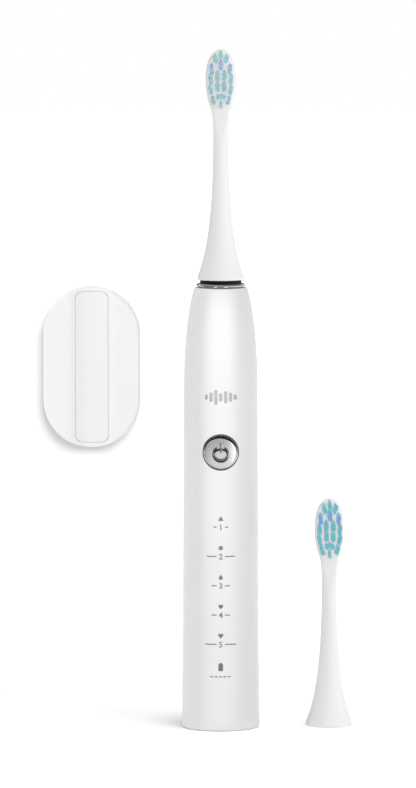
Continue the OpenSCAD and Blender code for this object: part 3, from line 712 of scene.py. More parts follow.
bowl_outline = [(bowl_outside, -DISH_DEPTH - BOWL_ROOT, 0), (bowl_outside, BOWL_HEIGHT - DISH_DEPTH, 0),
                (bowl_inside, -DISH_DEPTH - 0.1 * MM, BOWL_CREST), (bowl_inside, -DISH_DEPTH - BOWL_ROOT, BOWL_CREST)]
bowl = dial("symbol_bowl", bowl_outline, chrome, drop=SYMBOL_DROP)
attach(bowl, "power_button")

# ---- Brush heads ----
# Each is one moulding of white plastic: a skirt, a tapering neck and an oval plate.
# One sits on the shaft, and the spare stands on its open skirt.
head_low, head_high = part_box("head_body")
spare_low, spare_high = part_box("spare_head_body")
HEAD_LENGTH = head_high.z - head_low.z
SKIRT_RADIUS = head_high.x
NECK_RADIUS = 2.82 * MM
PLATE_HALF_WIDTH = 5.52 * MM
PLATE_FRONT = 3 * MM
PLATE_BACK = 2 * MM
HEAD_COLUMNS = 80
LIP_EDGE = 0.35 * MM
LIP_INSIDE = 7.3 * MM
NECK_END = 45 * MM
FLATTEN_START = 33 * MM
FLATTEN_LENGTH = 9 * MM
TIP_BACK_ROUND = 6 * MM
TIP_BACK_EDGE = 0.9 * MM
TIP_FRONT_ROUND = 1.4 * MM
TIP_FRONT_EDGE = 1.2 * MM
mouth_steps = [(3.02, 22.4), (3.02, 14.0), (3.9, 14.0), (3.9, 7.2), (6.0, 3.2), (7.0, 3.2), (7.0, 0.25)]


def smooth(x):
    """An even ease from 0 to 1."""
    x = min(max(x, 0.0), 1.0)
    return x * x * (3 - 2 * x)


def head_sections():
    """(height, half width) down the outside of a brush head, from its skirt to its tip."""
    top = HEAD_LENGTH
    skirt = [(r, z) for r, z in quarter(SKIRT_RADIUS - LIP_EDGE, LIP_EDGE, LIP_EDGE, -90, 0, 5)]
    neck = bezier([(SKIRT_RADIUS, 0.4 * MM), (SKIRT_RADIUS - 0.08 * MM, 2.7 * MM),
                   (NECK_RADIUS, 9.7 * MM), (NECK_RADIUS, 50 * MM)], np.linspace(0, 1, 48))
    flare = bezier([(NECK_RADIUS, top - 31 * MM), (NECK_RADIUS, top - 19 * MM),
                    (PLATE_HALF_WIDTH, top - 20.6 * MM), (PLATE_HALF_WIDTH, top - 11.3 * MM)], np.linspace(0, 1, 30))
    tip = bezier([(PLATE_HALF_WIDTH, top - 11.3 * MM), (PLATE_HALF_WIDTH, top - 1.6 * MM),
                  (1.5 * MM, top), (0, top)], np.linspace(0, 1, 44))
    return [*skirt, *neck[1:], *flare[1:], *tip[1:-1]]


def head_ring(half, z):
    """One section of a brush head: round at the neck, and flat-faced with a rounded back at the plate."""
    top = HEAD_LENGTH
    flat = smooth((z - top + FLATTEN_START) / FLATTEN_LENGTH)
    front = half + (PLATE_FRONT - half) * flat if z > NECK_END else half
    back = half + (PLATE_BACK - half) * flat if z > NECK_END else half
    left = top - z
    if left < TIP_BACK_ROUND:
        back = -TIP_BACK_EDGE + (PLATE_BACK + TIP_BACK_EDGE) * (1 - (1 - left / TIP_BACK_ROUND) ** 2.2) ** 0.5
    if left < TIP_FRONT_ROUND:
        front -= TIP_FRONT_EDGE * (1 - (1 - (1 - left / TIP_FRONT_ROUND) ** 2) ** 0.5)
    n_front, n_back = 2 + 3.5 * flat, 2 + 0.5 * flat
    middle = (back - front) / 2 if flat > 0 else 0.0
    ring = []
    for k in range(HEAD_COLUMNS):
        a = k * TURN / HEAD_COLUMNS
        c, s = math.cos(a), math.sin(a)
        n = n_front if s < 0 else n_back
        depth = front + middle if s < 0 else back - middle
        x = half * math.copysign(abs(c) ** (2 / n), c)
        ring.append((x, middle + depth * math.copysign(abs(s) ** (2 / n), s), z))
    return ring


def head_mesh(origin):
    """The closed head: from the bottom of its socket, out of the mouth, round the lip and up to the tip."""
    turns = [(math.cos(k * TURN / HEAD_COLUMNS), math.sin(k * TURN / HEAD_COLUMNS)) for k in range(HEAD_COLUMNS)]
    rings = [[(r * MM * c, r * MM * s, z * MM) for c, s in turns] for r, z in mouth_steps]
    rings.append([(LIP_INSIDE * c, LIP_INSIDE * s, 0.0) for c, s in turns])
    rings += [head_ring(half, z) for half, z in head_sections()]
    points = [p for ring in rings for p in ring]
    faces = []
    for i in range(len(rings) - 1):
        for k in range(HEAD_COLUMNS):
            m = (k + 1) % HEAD_COLUMNS
            this, above = i * HEAD_COLUMNS, (i + 1) * HEAD_COLUMNS
            faces.append([this + k, this + m, above + m, above + k])
    faces.append(list(range(HEAD_COLUMNS)))
    faces.append(list(range((len(rings) - 1) * HEAD_COLUMNS, len(rings) * HEAD_COLUMNS)))
    return [(x + origin[0], y + origin[1], z + origin[2]) for x, y, z in points], faces


head_white = plastic("head_white_plastic", (0.78, 0.78, 0.78), gloss=0.38, bump=0.05)
HEADS = (
    ("brush_head", "", (0, 0, head_low.z)),
    ("spare_head", "spare_", ((spare_low.x + spare_high.x) / 2, spare_high.y - SKIRT_RADIUS, spare_low.z)),
)
for body, prefix, origin in HEADS:
    casing = solid(prefix + "brush_casing", *head_mesh(origin), head_white, sharp=40)
    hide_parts(prefix + "head_body")
    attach(casing, body)

# ---- Bristles ----
# Round nylon filaments, folded at the middle and stapled into the plate in bundles.
# Their tips are ground round, and each bundle splays a little, so its end is ragged.
FILAMENT = 0.19 * MM
TIP_LENGTH = 0.3 * MM
FILAMENT_SPACING = 0.2 * MM
SPLAY = 0.014


def bristle_tree():
    """Geometry nodes: on each bundle's end face, filaments that run back to its root."""
    tree = bpy.data.node_groups.new("bristle_bundles", "GeometryNodeTree")
    face = tree.interface
    face.new_socket("Geometry", in_out="INPUT", socket_type="NodeSocketGeometry")
    for label, value in (("Length", 0.01), ("Thickness", FILAMENT), ("Spacing", FILAMENT_SPACING), ("Splay", SPLAY)):
        face.new_socket(label, in_out="INPUT", socket_type="NodeSocketFloat").default_value = value
    face.new_socket("Seed", in_out="INPUT", socket_type="NodeSocketInt").default_value = 1
    face.new_socket("Material", in_out="INPUT", socket_type="NodeSocketMaterial")
    face.new_socket("Geometry", in_out="OUTPUT", socket_type="NodeSocketGeometry")
    given = tree.nodes.new("NodeGroupInput")
    out = tree.nodes.new("NodeGroupOutput")

    def link(a, b):
        tree.links.new(a, b)

    def maths(operation, a, b):
        node = place(tree, "ShaderNodeMath", operation=operation)
        for socket, value in zip(node.inputs, (a, b)):
            if isinstance(value, (int, float)):
                socket.default_value = value
            else:
                link(value, socket)
        return node.outputs[0]

    normal = tree.nodes.new("GeometryNodeInputNormal")
    parts = tree.nodes.new("ShaderNodeSeparateXYZ")
    link(normal.outputs[0], parts.inputs[0])
    ends = tree.nodes.new("GeometryNodeSeparateGeometry")
    ends.domain = "FACE"
    link(given.outputs["Geometry"], ends.inputs["Geometry"])
    link(maths("LESS_THAN", parts.outputs["Y"], -0.9), ends.inputs["Selection"])
    spots = tree.nodes.new("GeometryNodeDistributePointsOnFaces")
    spots.distribute_method = "POISSON"
    spots.inputs["Density Max"].default_value = 9e7
    link(ends.outputs["Selection"], spots.inputs["Mesh"])
    link(given.outputs["Spacing"], spots.inputs["Distance Min"])
    link(given.outputs["Seed"], spots.inputs["Seed"])
    back = tree.nodes.new("ShaderNodeCombineXYZ")
    link(given.outputs["Length"], back.inputs["Y"])
    roots = tree.nodes.new("GeometryNodeSetPosition")
    link(spots.outputs["Points"], roots.inputs["Geometry"])
    link(back.outputs[0], roots.inputs["Offset"])

    stem = place(tree, "GeometryNodeMeshCone", fill_type="NONE")
    tip = place(tree, "GeometryNodeMeshCone", fill_type="TRIANGLE_FAN")
    half = maths("DIVIDE", given.outputs["Thickness"], 2.0)
    stem_length = maths("SUBTRACT", given.outputs["Length"], TIP_LENGTH)
    for cone, bottom, top, depth in ((stem, half, half, stem_length), (tip, half, maths("MULTIPLY", half, 0.45), None)):
        cone.inputs["Vertices"].default_value = 6
        link(bottom, cone.inputs["Radius Bottom"])
        link(top, cone.inputs["Radius Top"])
        if depth is None:
            cone.inputs["Depth"].default_value = TIP_LENGTH
        else:
            link(depth, cone.inputs["Depth"])
    tip_place = tree.nodes.new("GeometryNodeTransform")
    tip_up = tree.nodes.new("ShaderNodeCombineXYZ")
    link(stem_length, tip_up.inputs["Z"])
    link(tip.outputs["Mesh"], tip_place.inputs["Geometry"])
    link(tip_up.outputs[0], tip_place.inputs["Translation"])
    both = tree.nodes.new("GeometryNodeJoinGeometry")
    link(stem.outputs["Mesh"], both.inputs[0])
    link(tip_place.outputs[0], both.inputs[0])
    merged = tree.nodes.new("GeometryNodeMergeByDistance")
    merged.inputs["Distance"].default_value = 1e-6
    link(both.outputs[0], merged.inputs["Geometry"])
    forward = tree.nodes.new("GeometryNodeTransform")
    forward.inputs["Rotation"].default_value = (math.pi / 2, 0, 0)
    link(merged.outputs[0], forward.inputs["Geometry"])

    planted = tree.nodes.new("GeometryNodeInstanceOnPoints")
    link(roots.outputs[0], planted.inputs["Points"])
    link(forward.outputs[0], planted.inputs["Instance"])
    lean = tree.nodes.new("FunctionNodeRandomValue")
    lean.data_type = "FLOAT_VECTOR"
    low_lean = tree.nodes.new("ShaderNodeCombineXYZ")
    high_lean = tree.nodes.new("ShaderNodeCombineXYZ")
    for axis in ("X", "Z"):
        link(maths("MULTIPLY", given.outputs["Splay"], -1.0), low_lean.inputs[axis])
        link(given.outputs["Splay"], high_lean.inputs[axis])
    link(low_lean.outputs[0], lean.inputs["Min"])
    link(high_lean.outputs[0], lean.inputs["Max"])
    link(given.outputs["Seed"], lean.inputs["Seed"])
    leaning = tree.nodes.new("GeometryNodeRotateInstances")
    link(planted.outputs[0], leaning.inputs["Instances"])
    link(lean.outputs[0], leaning.inputs["Rotation"])
    trim = tree.nodes.new("FunctionNodeRandomValue")
    trim.data_type = "FLOAT_VECTOR"
    trim.inputs["Min"].default_value = (1.0, 0.965, 1.0)
    trim.inputs["Max"].default_value = (1.0, 0.998, 1.0)
    link(given.outputs["Seed"], trim.inputs["Seed"])
    trimmed = tree.nodes.new("GeometryNodeScaleInstances")
    link(leaning.outputs[0], trimmed.inputs["Instances"])
    link(trim.outputs[0], trimmed.inputs["Scale"])
    tone = tree.nodes.new("FunctionNodeRandomValue")
    tone.data_type = "FLOAT"
    link(given.outputs["Seed"], tone.inputs["Seed"])
    toned = tree.nodes.new("GeometryNodeStoreNamedAttribute")
    toned.data_type = "FLOAT"
    toned.domain = "INSTANCE"
    toned.inputs["Name"].default_value = "tone"
    link(trimmed.outputs[0], toned.inputs["Geometry"])
    link([s for s in tone.outputs if s.enabled][0], [s for s in toned.inputs if s.name == "Value" and s.enabled][0])
    real = tree.nodes.new("GeometryNodeRealizeInstances")
    dressed = tree.nodes.new("GeometryNodeSetMaterial")
    link(toned.outputs[0], real.inputs["Geometry"])
    link(real.outputs[0], dressed.inputs["Geometry"])
    link(given.outputs["Material"], dressed.inputs["Material"])
    link(dressed.outputs[0], out.inputs[0])
    return tree


BRISTLES = bristle_tree()


def set_input(modifier, name, value):
    """Sets a geometry nodes input by its socket's identifier."""
    found = [i for i in modifier.node_group.interface.items_tree
             if i.item_type == "SOCKET" and i.in_out == "INPUT" and i.name == name]
    modifier[found[0].identifier] = value


def plain_mesh(source):
    """Turns an object with live geometry nodes into its finished mesh."""
    bpy.context.view_layer.update()
    graph = bpy.context.evaluated_depsgraph_get()
    mesh = bpy.data.meshes.new_from_object(source.evaluated_get(graph), depsgraph=graph)
    source.modifiers.clear()
    source.data = mesh
    return source


def nylon(name, dark, light):
    """Nylon filament: each has its own tone between two colours, and lets some light through."""
    material = bpy.data.materials.new(name)
    material.use_nodes = True
    tree = material.node_tree
    surface = tree.nodes["Principled BSDF"]
    tone = place(tree, "ShaderNodeAttribute", attribute_name="tone")
    where = place(tree, "ShaderNodeTexCoord")
    cloud = place(tree, "ShaderNodeTexNoise", Scale=900.0, Detail=2.0)
    both = place(tree, "ShaderNodeMath", operation="MULTIPLY_ADD")
    both.inputs[1].default_value = 0.35
    ramp = place(tree, "ShaderNodeValToRGB")
    ramp.color_ramp.elements[0].color = (*dark, 1)
    ramp.color_ramp.elements[1].color = (*light, 1)
    gloss = place(tree, "ShaderNodeMapRange", To_Min=0.3, To_Max=0.5)
    wire(tree, where, "Object", cloud, "Vector")
    wire(tree, cloud, "Fac", both, 0)
    wire(tree, tone, "Fac", both, 2)
    wire(tree, both, 0, ramp, "Fac")
    wire(tree, cloud, "Fac", gloss, "Value")
    wire(tree, ramp, "Color", surface, "Base Color")
    wire(tree, gloss, "Result", surface, "Roughness")
    surface.inputs["Specular IOR Level"].default_value = 0.25
    surface.inputs["Subsurface Weight"].default_value = 0.4
    surface.inputs["Subsurface Scale"].default_value = 0.0005
    return material


teal_nylon = nylon("teal_nylon", (0.1, 0.56, 0.66), (0.18, 0.7, 0.8))
blue_nylon = nylon("blue_nylon", (0.11, 0.44, 0.85), (0.2, 0.58, 0.95))
# Small brown discs on the plate at the top end of each bundle are painted shade in the tuft holes.
hole_shade_brown = plastic("hole_shade_brown", (0.06, 0.04, 0.03), gloss=0.5, bump=0.2)
HOLE_SHADE_RADIUS = 0.2 * MM
HOLE_SHADE_PROUD = 0.03 * MM


def bundle_tops(node):
    """The uppermost (x, z) of each bundle in a node of loose triangles."""
    shape = bmesh.new()
    shape.from_mesh(frame["nodes"][node].data)
    bmesh.ops.remove_doubles(shape, verts=shape.verts, dist=1e-6)
    left, tops = set(shape.verts), []
    while left:
        island, edge = [], [next(v for v in shape.verts if v in left)]
        while edge:
            vert = edge.pop()
            if vert in left:
                left.discard(vert)
                island.append(vert)
                edge += [e.other_vert(vert) for e in vert.link_edges]
        top = max(v.co.z for v in island)
        tops.append((sum(v.co.x for v in island) / len(island), top))
    shape.free()
    return sorted(tops)


for body, prefix, origin in HEADS:
    for seed, (colour, fibre) in enumerate((("teal", teal_nylon), ("blue", blue_nylon))):
        node = f"{prefix}{colour}_tufts"
        low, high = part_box(node)
        source = bpy.data.objects.new(f"{prefix}{colour}_bristles", frame["nodes"][node].data.copy())
        bpy.context.scene.collection.objects.link(source)
        modifier = source.modifiers.new("bristles", "NODES")
        modifier.node_group = BRISTLES
        set_input(modifier, "Length", high.y - low.y)
        set_input(modifier, "Seed", 7 + seed)
        set_input(modifier, "Material", fibre)
        bundle = plain_mesh(source)
        bundle.data.shade_smooth()
        bundle.visible_diffuse = False
        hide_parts(node)
        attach(bundle, body)
    # One painted shade disc per bundle, just proud of the plate's face at the bundle's top.
    spots = []
    for x, top in bundle_tops(prefix + "teal_tufts") + bundle_tops(prefix + "blue_tufts"):
        face_y = origin[1] - PLATE_FRONT
        rows = [[(x + HOLE_SHADE_RADIUS * c, y, top + HOLE_SHADE_RADIUS * s) for c, s in circle_points(0, 0, 1, steps=10)]
                for y in (face_y - HOLE_SHADE_PROUD, face_y + 0.3 * MM)]
        spots.append((rows[0] + rows[1], [list(range(10)), list(range(19, 9, -1)),
                      *[[k, (k + 1) % 10, 10 + (k + 1) % 10, 10 + k] for k in range(10)]]))
    hole_shades = solid(f"{prefix}staple_ends", *joined(spots), hole_shade_brown)
    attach(hole_shades, body)

# ---- Wall holder ----
# A stadium-shaped plate of the same white ABS, with a soft edge and a groove that fits the handle.
# A thin strip with rounded corners is let into the groove over the magnets.
holder_low, holder_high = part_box("holder_shell")
strip_low, strip_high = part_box("holder_strip")
HOLDER_X = (holder_low.x + holder_high.x) / 2
HOLDER_Z = (holder_low.z + holder_high.z) / 2
HOLDER_HALF_WIDTH = (holder_high.x - holder_low.x) / 2
HOLDER_HALF_HEIGHT = (holder_high.z - holder_low.z) / 2
HOLDER_FRONT = holder_low.y
HOLDER_BACK = holder_high.y
HOLDER_EDGE = 1.1 * MM
GROOVE_RADIUS = 14.1 * MM
GROOVE_DEPTH = 2.3 * MM
GROOVE_SOFTNESS = 0.35 * MM
POCKET_INSET = 2.2 * MM
POCKET_DEPTH = 2.2 * MM
straight = HOLDER_HALF_HEIGHT - HOLDER_HALF_WIDTH


def edge_distance(x, z):
    """How far a point of the front lies inside the stadium's outline."""
    over = max(abs(z) - straight, 0.0)
    return HOLDER_HALF_WIDTH - math.hypot(x, over)


def front_depth(x, z):
    """Depth of the front below its highest plane, from the soft edge and the groove."""
    d = min(max(edge_distance(x, z), 0.0), HOLDER_EDGE)
    soft = HOLDER_EDGE - math.sqrt(max(HOLDER_EDGE**2 - (HOLDER_EDGE - d) ** 2, 0.0))
    sagitta = math.sqrt(GROOVE_RADIUS**2 - min(abs(x), GROOVE_RADIUS) ** 2) - GROOVE_RADIUS + GROOVE_DEPTH
    groove = 0.0
    if sagitta > -6 * GROOVE_SOFTNESS:
        groove = GROOVE_SOFTNESS * math.log1p(math.exp(sagitta / GROOVE_SOFTNESS))
    return max(soft, groove) if min(soft, groove) < 1e-6 else math.hypot(soft, groove)


def holder_mesh():
    """Columns of points across the stadium for its front and its back rim, joined round the outline."""
    across = HOLDER_HALF_WIDTH * np.sin(np.linspace(-math.pi / 2, math.pi / 2, 91))
    fine = np.linspace(-9 * MM, 9 * MM, 61)
    xs = np.unique(np.round(np.concatenate([across, fine]), 7))
    end = 0.5 - 0.5 * np.cos(np.linspace(0, math.pi, 121))
    points, faces = [], []
    columns = []
    for x in xs:
        reach = straight + math.sqrt(max(HOLDER_HALF_WIDTH**2 - x * x, 0.0))
        columns.append(len(points))
        for t in end:
            z = reach * (2 * t - 1)
            points.append((HOLDER_X + x, HOLDER_FRONT + front_depth(x, z), HOLDER_Z + z))
    rows = len(end)
    for a, b in zip(columns, columns[1:]):
        faces += [[a + r, b + r, b + r + 1, a + r + 1] for r in range(rows - 1)]
    rim = [columns[0] + r for r in range(rows)] + [c + rows - 1 for c in columns[1:]]
    rim += [columns[-1] + r for r in range(rows - 2, -1, -1)] + [c for c in columns[-2:0:-1]]
    outline = [points[v] for v in rim]

    def pulled(share, y):
        """The outline drawn in by that much, at depth y."""
        ring = []
        for x, _, z in outline:
            dx, dz = x - HOLDER_X, z - HOLDER_Z
            cz = min(max(dz, -straight), straight)
            r = math.hypot(dx, dz - cz)
            k = (r - share) / r
            ring.append((HOLDER_X + dx * k, y, HOLDER_Z + cz + (dz - cz) * k))
        return ring

    back = [(0.0, HOLDER_BACK - 0.3 * MM), (0.3 * MM, HOLDER_BACK), (POCKET_INSET, HOLDER_BACK),
            (POCKET_INSET, HOLDER_BACK - POCKET_DEPTH + 0.2 * MM)]
    last = rim
    for share, y in back:
        new = list(range(len(points), len(points) + len(rim)))
        points += pulled(share, y)
        faces += [[last[k], last[(k + 1) % len(rim)], new[(k + 1) % len(rim)], new[k]] for k in range(len(rim))]
        last = new
    faces.append(last)
    return points, faces


holder = solid("holder_plate", *holder_mesh(), satin_white, sharp=50)
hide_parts("holder_shell")
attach(holder, "wall_holder")

STRIP_CORNER = 2.2 * MM
STRIP_BULGE = 0.5 * MM
STRIP_PROUD = 0.1 * MM
SEAM = 0.17 * MM
SEAM_PROUD = 0.03 * MM


def strip_mesh(grow, proud, root):
    """A thin curved strip that lies in the groove, with rounded corners and slightly bowed ends."""
    half_w = (strip_high.x - strip_low.x) / 2 + grow
    half_h = (strip_high.z - strip_low.z) / 2 - STRIP_BULGE + grow
    xs = half_w * np.sin(np.linspace(-math.pi / 2, math.pi / 2, 49))
    edge = 0.18 * MM
    points, faces, columns = [], [], []
    ts = 0.5 - 0.5 * np.cos(np.linspace(0, math.pi, 81))

    def reach(x):
        bow = STRIP_BULGE * (1 - (x / half_w) ** 2)
        inset = max(abs(x) - half_w + STRIP_CORNER, 0.0)
        return half_h + bow - STRIP_CORNER + math.sqrt(max(STRIP_CORNER**2 - inset**2, 0.0))

    def groove_y(x):
        return HOLDER_FRONT + GROOVE_DEPTH - GROOVE_RADIUS + math.sqrt(GROOVE_RADIUS**2 - x * x)

    for front in (True, False):
        for x in xs:
            columns.append(len(points))
            top = reach(x)
            for t in ts:
                z = top * (2 * t - 1)
                d = min(half_w - abs(x), top - abs(z), edge)
                soft = edge - math.sqrt(max(edge**2 - (edge - max(d, 0.0)) ** 2, 0.0))
                points.append((HOLDER_X + x, groove_y(x) + (soft - proud if front else root), HOLDER_Z + z))
    rows, count = len(ts), len(xs)
    for skin in (columns[:count], columns[count:]):
        for a, b in zip(skin, skin[1:]):
            faces += [[a + r, b + r, b + r + 1, a + r + 1] for r in range(rows - 1)]
    rim = [columns[0] + r for r in range(rows)] + [c + rows - 1 for c in columns[1:count]]
    rim += [columns[count - 1] + r for r in range(rows - 2, -1, -1)] + [c for c in columns[count - 2:0:-1]]
    deep = [v + columns[count] for v in rim]
    faces += [[rim[k], rim[(k + 1) % len(rim)], deep[(k + 1) % len(rim)], deep[k]] for k in range(len(rim))]
    return points, faces


soft_white = plastic("soft_white_strip", (0.845, 0.845, 0.847), gloss=0.45, bump=0.2, grain=5000.0)
# A grey line just wider than the strip, lying between it and the groove, is painted shade of the seam round the strip.
seam_shade_grey = plastic("seam_shade_grey", (0.33, 0.335, 0.34), gloss=0.6, bump=0.1)
strip = solid("groove_strip", *strip_mesh(0.0, STRIP_PROUD, 0.8 * MM), soft_white, sharp=50)
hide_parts("holder_strip")
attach(strip, "wall_holder")
seam_shade = solid("strip_seam", *strip_mesh(SEAM, SEAM_PROUD, 0.5 * MM), seam_shade_grey, sharp=50)
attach(seam_shade, "wall_holder")

# ---- Pieces carried over from the frame ----
# Their shapes are right as they are, so each only gets the finish of what it is made of.
finishes = {
    "cap_white": plastic("cap_white_plastic", (0.78, 0.78, 0.78), gloss=0.5, bump=0.3, grain=3500.0),
    "foot_rubber": plastic("foot_rubber", (0.16, 0.165, 0.17), gloss=0.6, bump=0.35, grain=3000.0),
    "black_rubber": black_rubber,
    "frame_plastic": plastic("frame_plastic", (0.72, 0.72, 0.68), gloss=0.5, bump=0.2),
    "copper_wire": metal("copper_wire", (0.72, 0.36, 0.18), 0.3, 0.1, 1500.0, 0.3),
    "ferrite": plastic("ferrite", (0.035, 0.035, 0.036), gloss=0.7, bump=0.5, grain=3000.0),
    "battery_sleeve": plastic("battery_sleeve", (0.04, 0.16, 0.34), gloss=0.25, bump=0.05),
    "steel": metal("bright_steel", (0.6, 0.61, 0.63), 0.22, 0.12, 700.0),
    "board_green": plastic("board_green", (0.015, 0.12, 0.05), gloss=0.3, bump=0.15, grain=1500.0, drift=0.3),
    "lens_clear": plastic("frosted_lens", (0.75, 0.78, 0.8), gloss=0.4, Transmission_Weight=0.5),
    "grey_ink": inlay_grey,
    "dark_plastic": dark_plastic,
    "brass_wire": metal("brass_wire", (0.66, 0.5, 0.24), 0.2, 0.1, 900.0),
    "membrane_grey": plastic("membrane_grey", (0.3, 0.31, 0.32), gloss=0.55, bump=0.1),
    "chrome_trim": chrome,
    "button_satin": spun_metal,
    "dark_steel": metal("dark_steel", (0.25, 0.26, 0.28), 0.35, 0.15, 900.0),
    "bronze": metal("sintered_bronze", (0.6, 0.42, 0.2), 0.4, 0.2, 2500.0, 0.3),
    "wire_red": plastic("wire_red", (0.4, 0.02, 0.02), gloss=0.4),
    "head_white": head_white,
    "shell_white": satin_white,
    "teal_bristle": teal_nylon,
    "blue_bristle": blue_nylon,
    "strip_white": soft_white,
    "adhesive_foam": plastic("adhesive_foam", (0.08, 0.085, 0.09), gloss=0.8, bump=0.6, grain=2500.0),
}
for row in frame["record"]["subparts"]:
    node = frame["nodes"][row["node"]]
    node.data.materials.clear()
    node.data.materials.append(finishes[row["material_slot"]])

# ---- Studio ----
# A plain pale floor and soft lights, with the camera a little above the brush and well back from it.
# A patch of wall takes the holder's shadow, and only bright surfaces mirror the dark card on the floor.
CAMERA_PLACE = Vector((-4.65, -1880, 280.6)) * MM
CAMERA_AIM = Vector((-4.65, 0, 122.6)) * MM
VIEW_HEIGHT = 288.4 * MM
SENSOR = 36.0
camera_data = bpy.data.cameras.new("camera")
camera_data.sensor_width = SENSOR
aim = CAMERA_AIM - CAMERA_PLACE
camera_data.lens = SENSOR * aim.length / VIEW_HEIGHT
camera_data.clip_end = 50
camera = bpy.data.objects.new("camera", camera_data)
camera.location = CAMERA_PLACE
camera.rotation_euler = aim.to_track_quat("-Z", "Y").to_euler()
bpy.context.scene.collection.objects.link(camera)
bpy.context.scene.camera = camera


def backdrop(name, corners, glow, far_glow, near, far, albedo):
    """A flat white sheet that glows, more so away from its middle, so only real shadows show. Its back is clear."""
    mesh = bpy.data.meshes.new(name)
    mesh.from_pydata(corners, [], [(0, 1, 2, 3)])
    sheet = bpy.data.objects.new(name, mesh)
    bpy.context.scene.collection.objects.link(sheet)
    material = bpy.data.materials.new(name)
    material.use_nodes = True
    tree = material.node_tree
    surface = tree.nodes["Principled BSDF"]
    surface.inputs["Base Color"].default_value = (*albedo, 1)
    surface.inputs["Roughness"].default_value = 1.0
    surface.inputs["Specular IOR Level"].default_value = 0.0
    surface.inputs["Emission Color"].default_value = (1, 1, 1, 1)
    place_on = place(tree, "ShaderNodeTexCoord")
    reach = place(tree, "ShaderNodeVectorMath", operation="LENGTH")
    fade = place(tree, "ShaderNodeMapRange", From_Min=near, From_Max=far, To_Min=glow, To_Max=far_glow)
    wire(tree, place_on, "Object", reach, 0)
    wire(tree, reach, "Value", fade, "Value")
    wire(tree, fade, "Result", surface, "Emission Strength")
    clear = place(tree, "ShaderNodeBsdfTransparent")
    sides = place(tree, "ShaderNodeNewGeometry")
    choice = place(tree, "ShaderNodeMixShader")
    wire(tree, sides, "Backfacing", choice, 0)
    wire(tree, surface, 0, choice, 1)
    wire(tree, clear, 0, choice, 2)
    tree.links.new(choice.outputs[0], tree.nodes["Material Output"].inputs["Surface"])
    mesh.materials.append(material)
    sheet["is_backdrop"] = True
    return sheet


FLOOR_REACH = 8
WALL_GLOW = 0.33
FLOOR_TONE = (0.38, 0.375, 0.37)
WALL_TONE = (0.37, 0.37, 0.37)
floor_corners = [(x * FLOOR_REACH, y * FLOOR_REACH, 0) for x, y in ((-1, -1), (1, -1), (1, 1), (-1, 1))]
floor = backdrop("floor", floor_corners, 0.12, 1.0, 0.06, 0.5, FLOOR_TONE)
floor.visible_diffuse = False
wall_y = cad_high.y + 0.2 * MM
wall_left, wall_right = cad_low.x - 60 * MM, HOLDER_X + HOLDER_HALF_WIDTH + 3 * MM
wall_low, wall_high = 10 * MM, HOLDER_Z + 55 * MM
wall_corners = [(wall_left, wall_y, wall_low), (wall_right, wall_y, wall_low),
                (wall_right, wall_y, wall_high), (wall_left, wall_y, wall_high)]
wall = backdrop("wall_patch", wall_corners, WALL_GLOW, WALL_GLOW, 0.1, 0.2, WALL_TONE)


def soft_light(name, place_at, aim_at, size, power, rays, receivers, blockers=()):
    """A rectangular soft light, unseen by the camera, for those rays and pieces, with shadows from the blockers."""
    data = bpy.data.lights.new(name, "AREA")
    data.shape = "RECTANGLE"
    data.size, data.size_y = size
    data.energy = power
    lamp = bpy.data.objects.new(name, data)
    lamp.location = place_at
    lamp.rotation_euler = (Vector(aim_at) - Vector(place_at)).to_track_quat("-Z", "Y").to_euler()
    lamp.visible_camera = False
    lamp.visible_diffuse = "diffuse" in rays
    lamp.visible_glossy = "glossy" in rays
    bpy.context.scene.collection.objects.link(lamp)
    lit = bpy.data.collections.new(name + "_lit")
    for piece in receivers:
        lit.objects.link(piece)
    lamp.light_linking.receiver_collection = lit
    if blockers:
        dark = bpy.data.collections.new(name + "_shadows")
        for piece in blockers:
            dark.objects.link(piece)
        lamp.light_linking.blocker_collection = dark
    return lamp


CARD_HEIGHT = 0.0005
card_left, card_right, card_front, card_back = -1.2, 0.25, -0.75, -0.0145
card_corners = [(card_left, card_front, CARD_HEIGHT), (card_right, card_front, CARD_HEIGHT),
                (card_right, card_back, CARD_HEIGHT), (card_left, card_back, CARD_HEIGHT)]
card = bpy.data.objects.new("dark_card", bpy.data.meshes.new("dark_card"))
card.data.from_pydata(card_corners, [], [(0, 1, 2, 3)])
bpy.context.scene.collection.objects.link(card)
card_black = bpy.data.materials.new("card_black")
card_black.use_nodes = True
card_surface = card_black.node_tree.nodes["Principled BSDF"]
card_surface.inputs["Base Color"].default_value = (0.02, 0.02, 0.02, 1)
card_surface.inputs["Roughness"].default_value = 1.0
card.data.materials.append(card_black)
for kind in ("camera", "diffuse", "transmission", "volume_scatter", "shadow"):
    setattr(card, "visible_" + kind, False)
card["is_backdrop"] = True
head_pieces = [p for p in bpy.data.objects if p.name.startswith(("brush_casing", "spare_brush_casing"))]
head_pieces += [p for p in bpy.data.objects if p.name.endswith("_bristles")]
prints = (handle, marks, numbers, motif)
ring_at, button_at, holder_at = (0, 0, 0.16), (0, 0, 0.1), (HOLDER_X, 0, HOLDER_Z)
for side in (-1, 1):
    soft_light(f"spark_{side}", (0.05 * side, -0.1, 0.05), ring_at, (0.04, 0.1), 0.09, ("glossy",), (neck_ring,))
soft_light("disc_front", (-0.25, -1.2, 0.2), button_at, (1.5, 1.4), 4.4, ("glossy",), (button_disc,))
soft_light("disc_right", (0.74, -0.95, 0.1), button_at, (0.3, 0.8), 0.9, ("glossy",), (button_disc,))
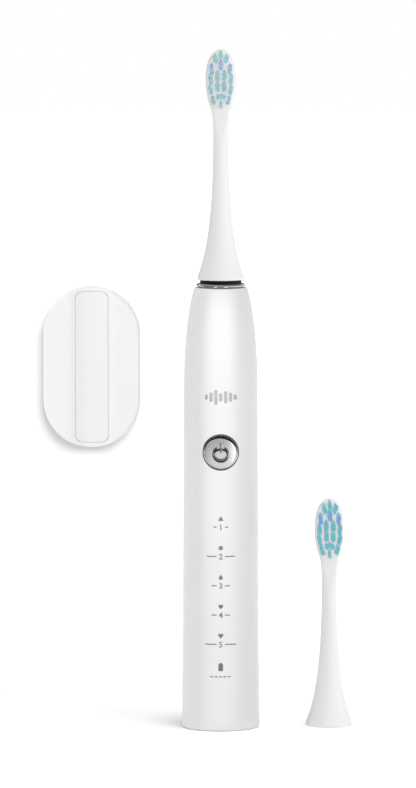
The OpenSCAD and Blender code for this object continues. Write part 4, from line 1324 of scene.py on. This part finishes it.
soft_light("front_panel", (-0.1, -0.9, 0.095), (-0.1, 0, 0.095), (2.1, 0.96), 60, ("glossy",), prints)
for name, x, y in (("head_front", 0.3, -1.25), ("head_right", 1.25, -0.3)):
    soft_light(name, (x, y, 0.35), (0, 0, 0.15), (0.8, 0.5), 3.5, ("diffuse",), head_pieces)
soft_light("holder_key", (-0.7, -1.3, 0.4), holder_at, (0.5, 0.5), 6.0, ("diffuse",), (holder, strip, seam_shade))
soft_light("floor_key", (0.215, -0.3, 1.36), (0, 0, 0), (0.8, 0.8), 49, ("diffuse",), (floor,))
soft_light("wall_key", (0.24, -1.0, 0.685), holder_at, (0.65, 0.65), 22.5, ("diffuse",), (wall,), (holder,))

world = bpy.data.worlds.new("studio")
world.use_nodes = True
tree = world.node_tree
sky = tree.nodes["Background"]
path = place(tree, "ShaderNodeLightPath")
where = place(tree, "ShaderNodeTexCoord")
slant = place(tree, "ShaderNodeVectorMath", operation="DOT_PRODUCT")
slant.inputs[1].default_value = (0.35, 0, 0.9)
bands = place(tree, "ShaderNodeValToRGB")
bands.color_ramp.elements[0].position = 0.0
bands.color_ramp.elements[0].color = (0.05, 0.05, 0.05, 1)
bands.color_ramp.elements[1].position = 1.0
bands.color_ramp.elements[1].color = (0.3, 0.3, 0.3, 1)
for position, value in ((0.08, 0.1), (0.24, 0.8), (0.5, 0.95), (0.7, 0.4)):
    bands.color_ramp.elements.new(position).color = (value, value, value * 1.02, 1)
seen = place(tree, "ShaderNodeMix", data_type="FLOAT")
seen.inputs[2].default_value = 0.84
seen.inputs[3].default_value = 1.0
colour = place(tree, "ShaderNodeMix", data_type="RGBA")
wire(tree, where, "Generated", slant, 0)
wire(tree, slant, "Value", bands, "Fac")
wire(tree, path, "Is Camera Ray", seen, 0)
wire(tree, path, "Is Glossy Ray", colour, 0)
wire(tree, seen, 0, colour, 6)
wire(tree, bands, "Color", colour, 7)
wire(tree, colour, 2, sky, "Color")
bpy.context.scene.world = world
bpy.context.scene.view_settings.view_transform = "Standard"

low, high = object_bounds()
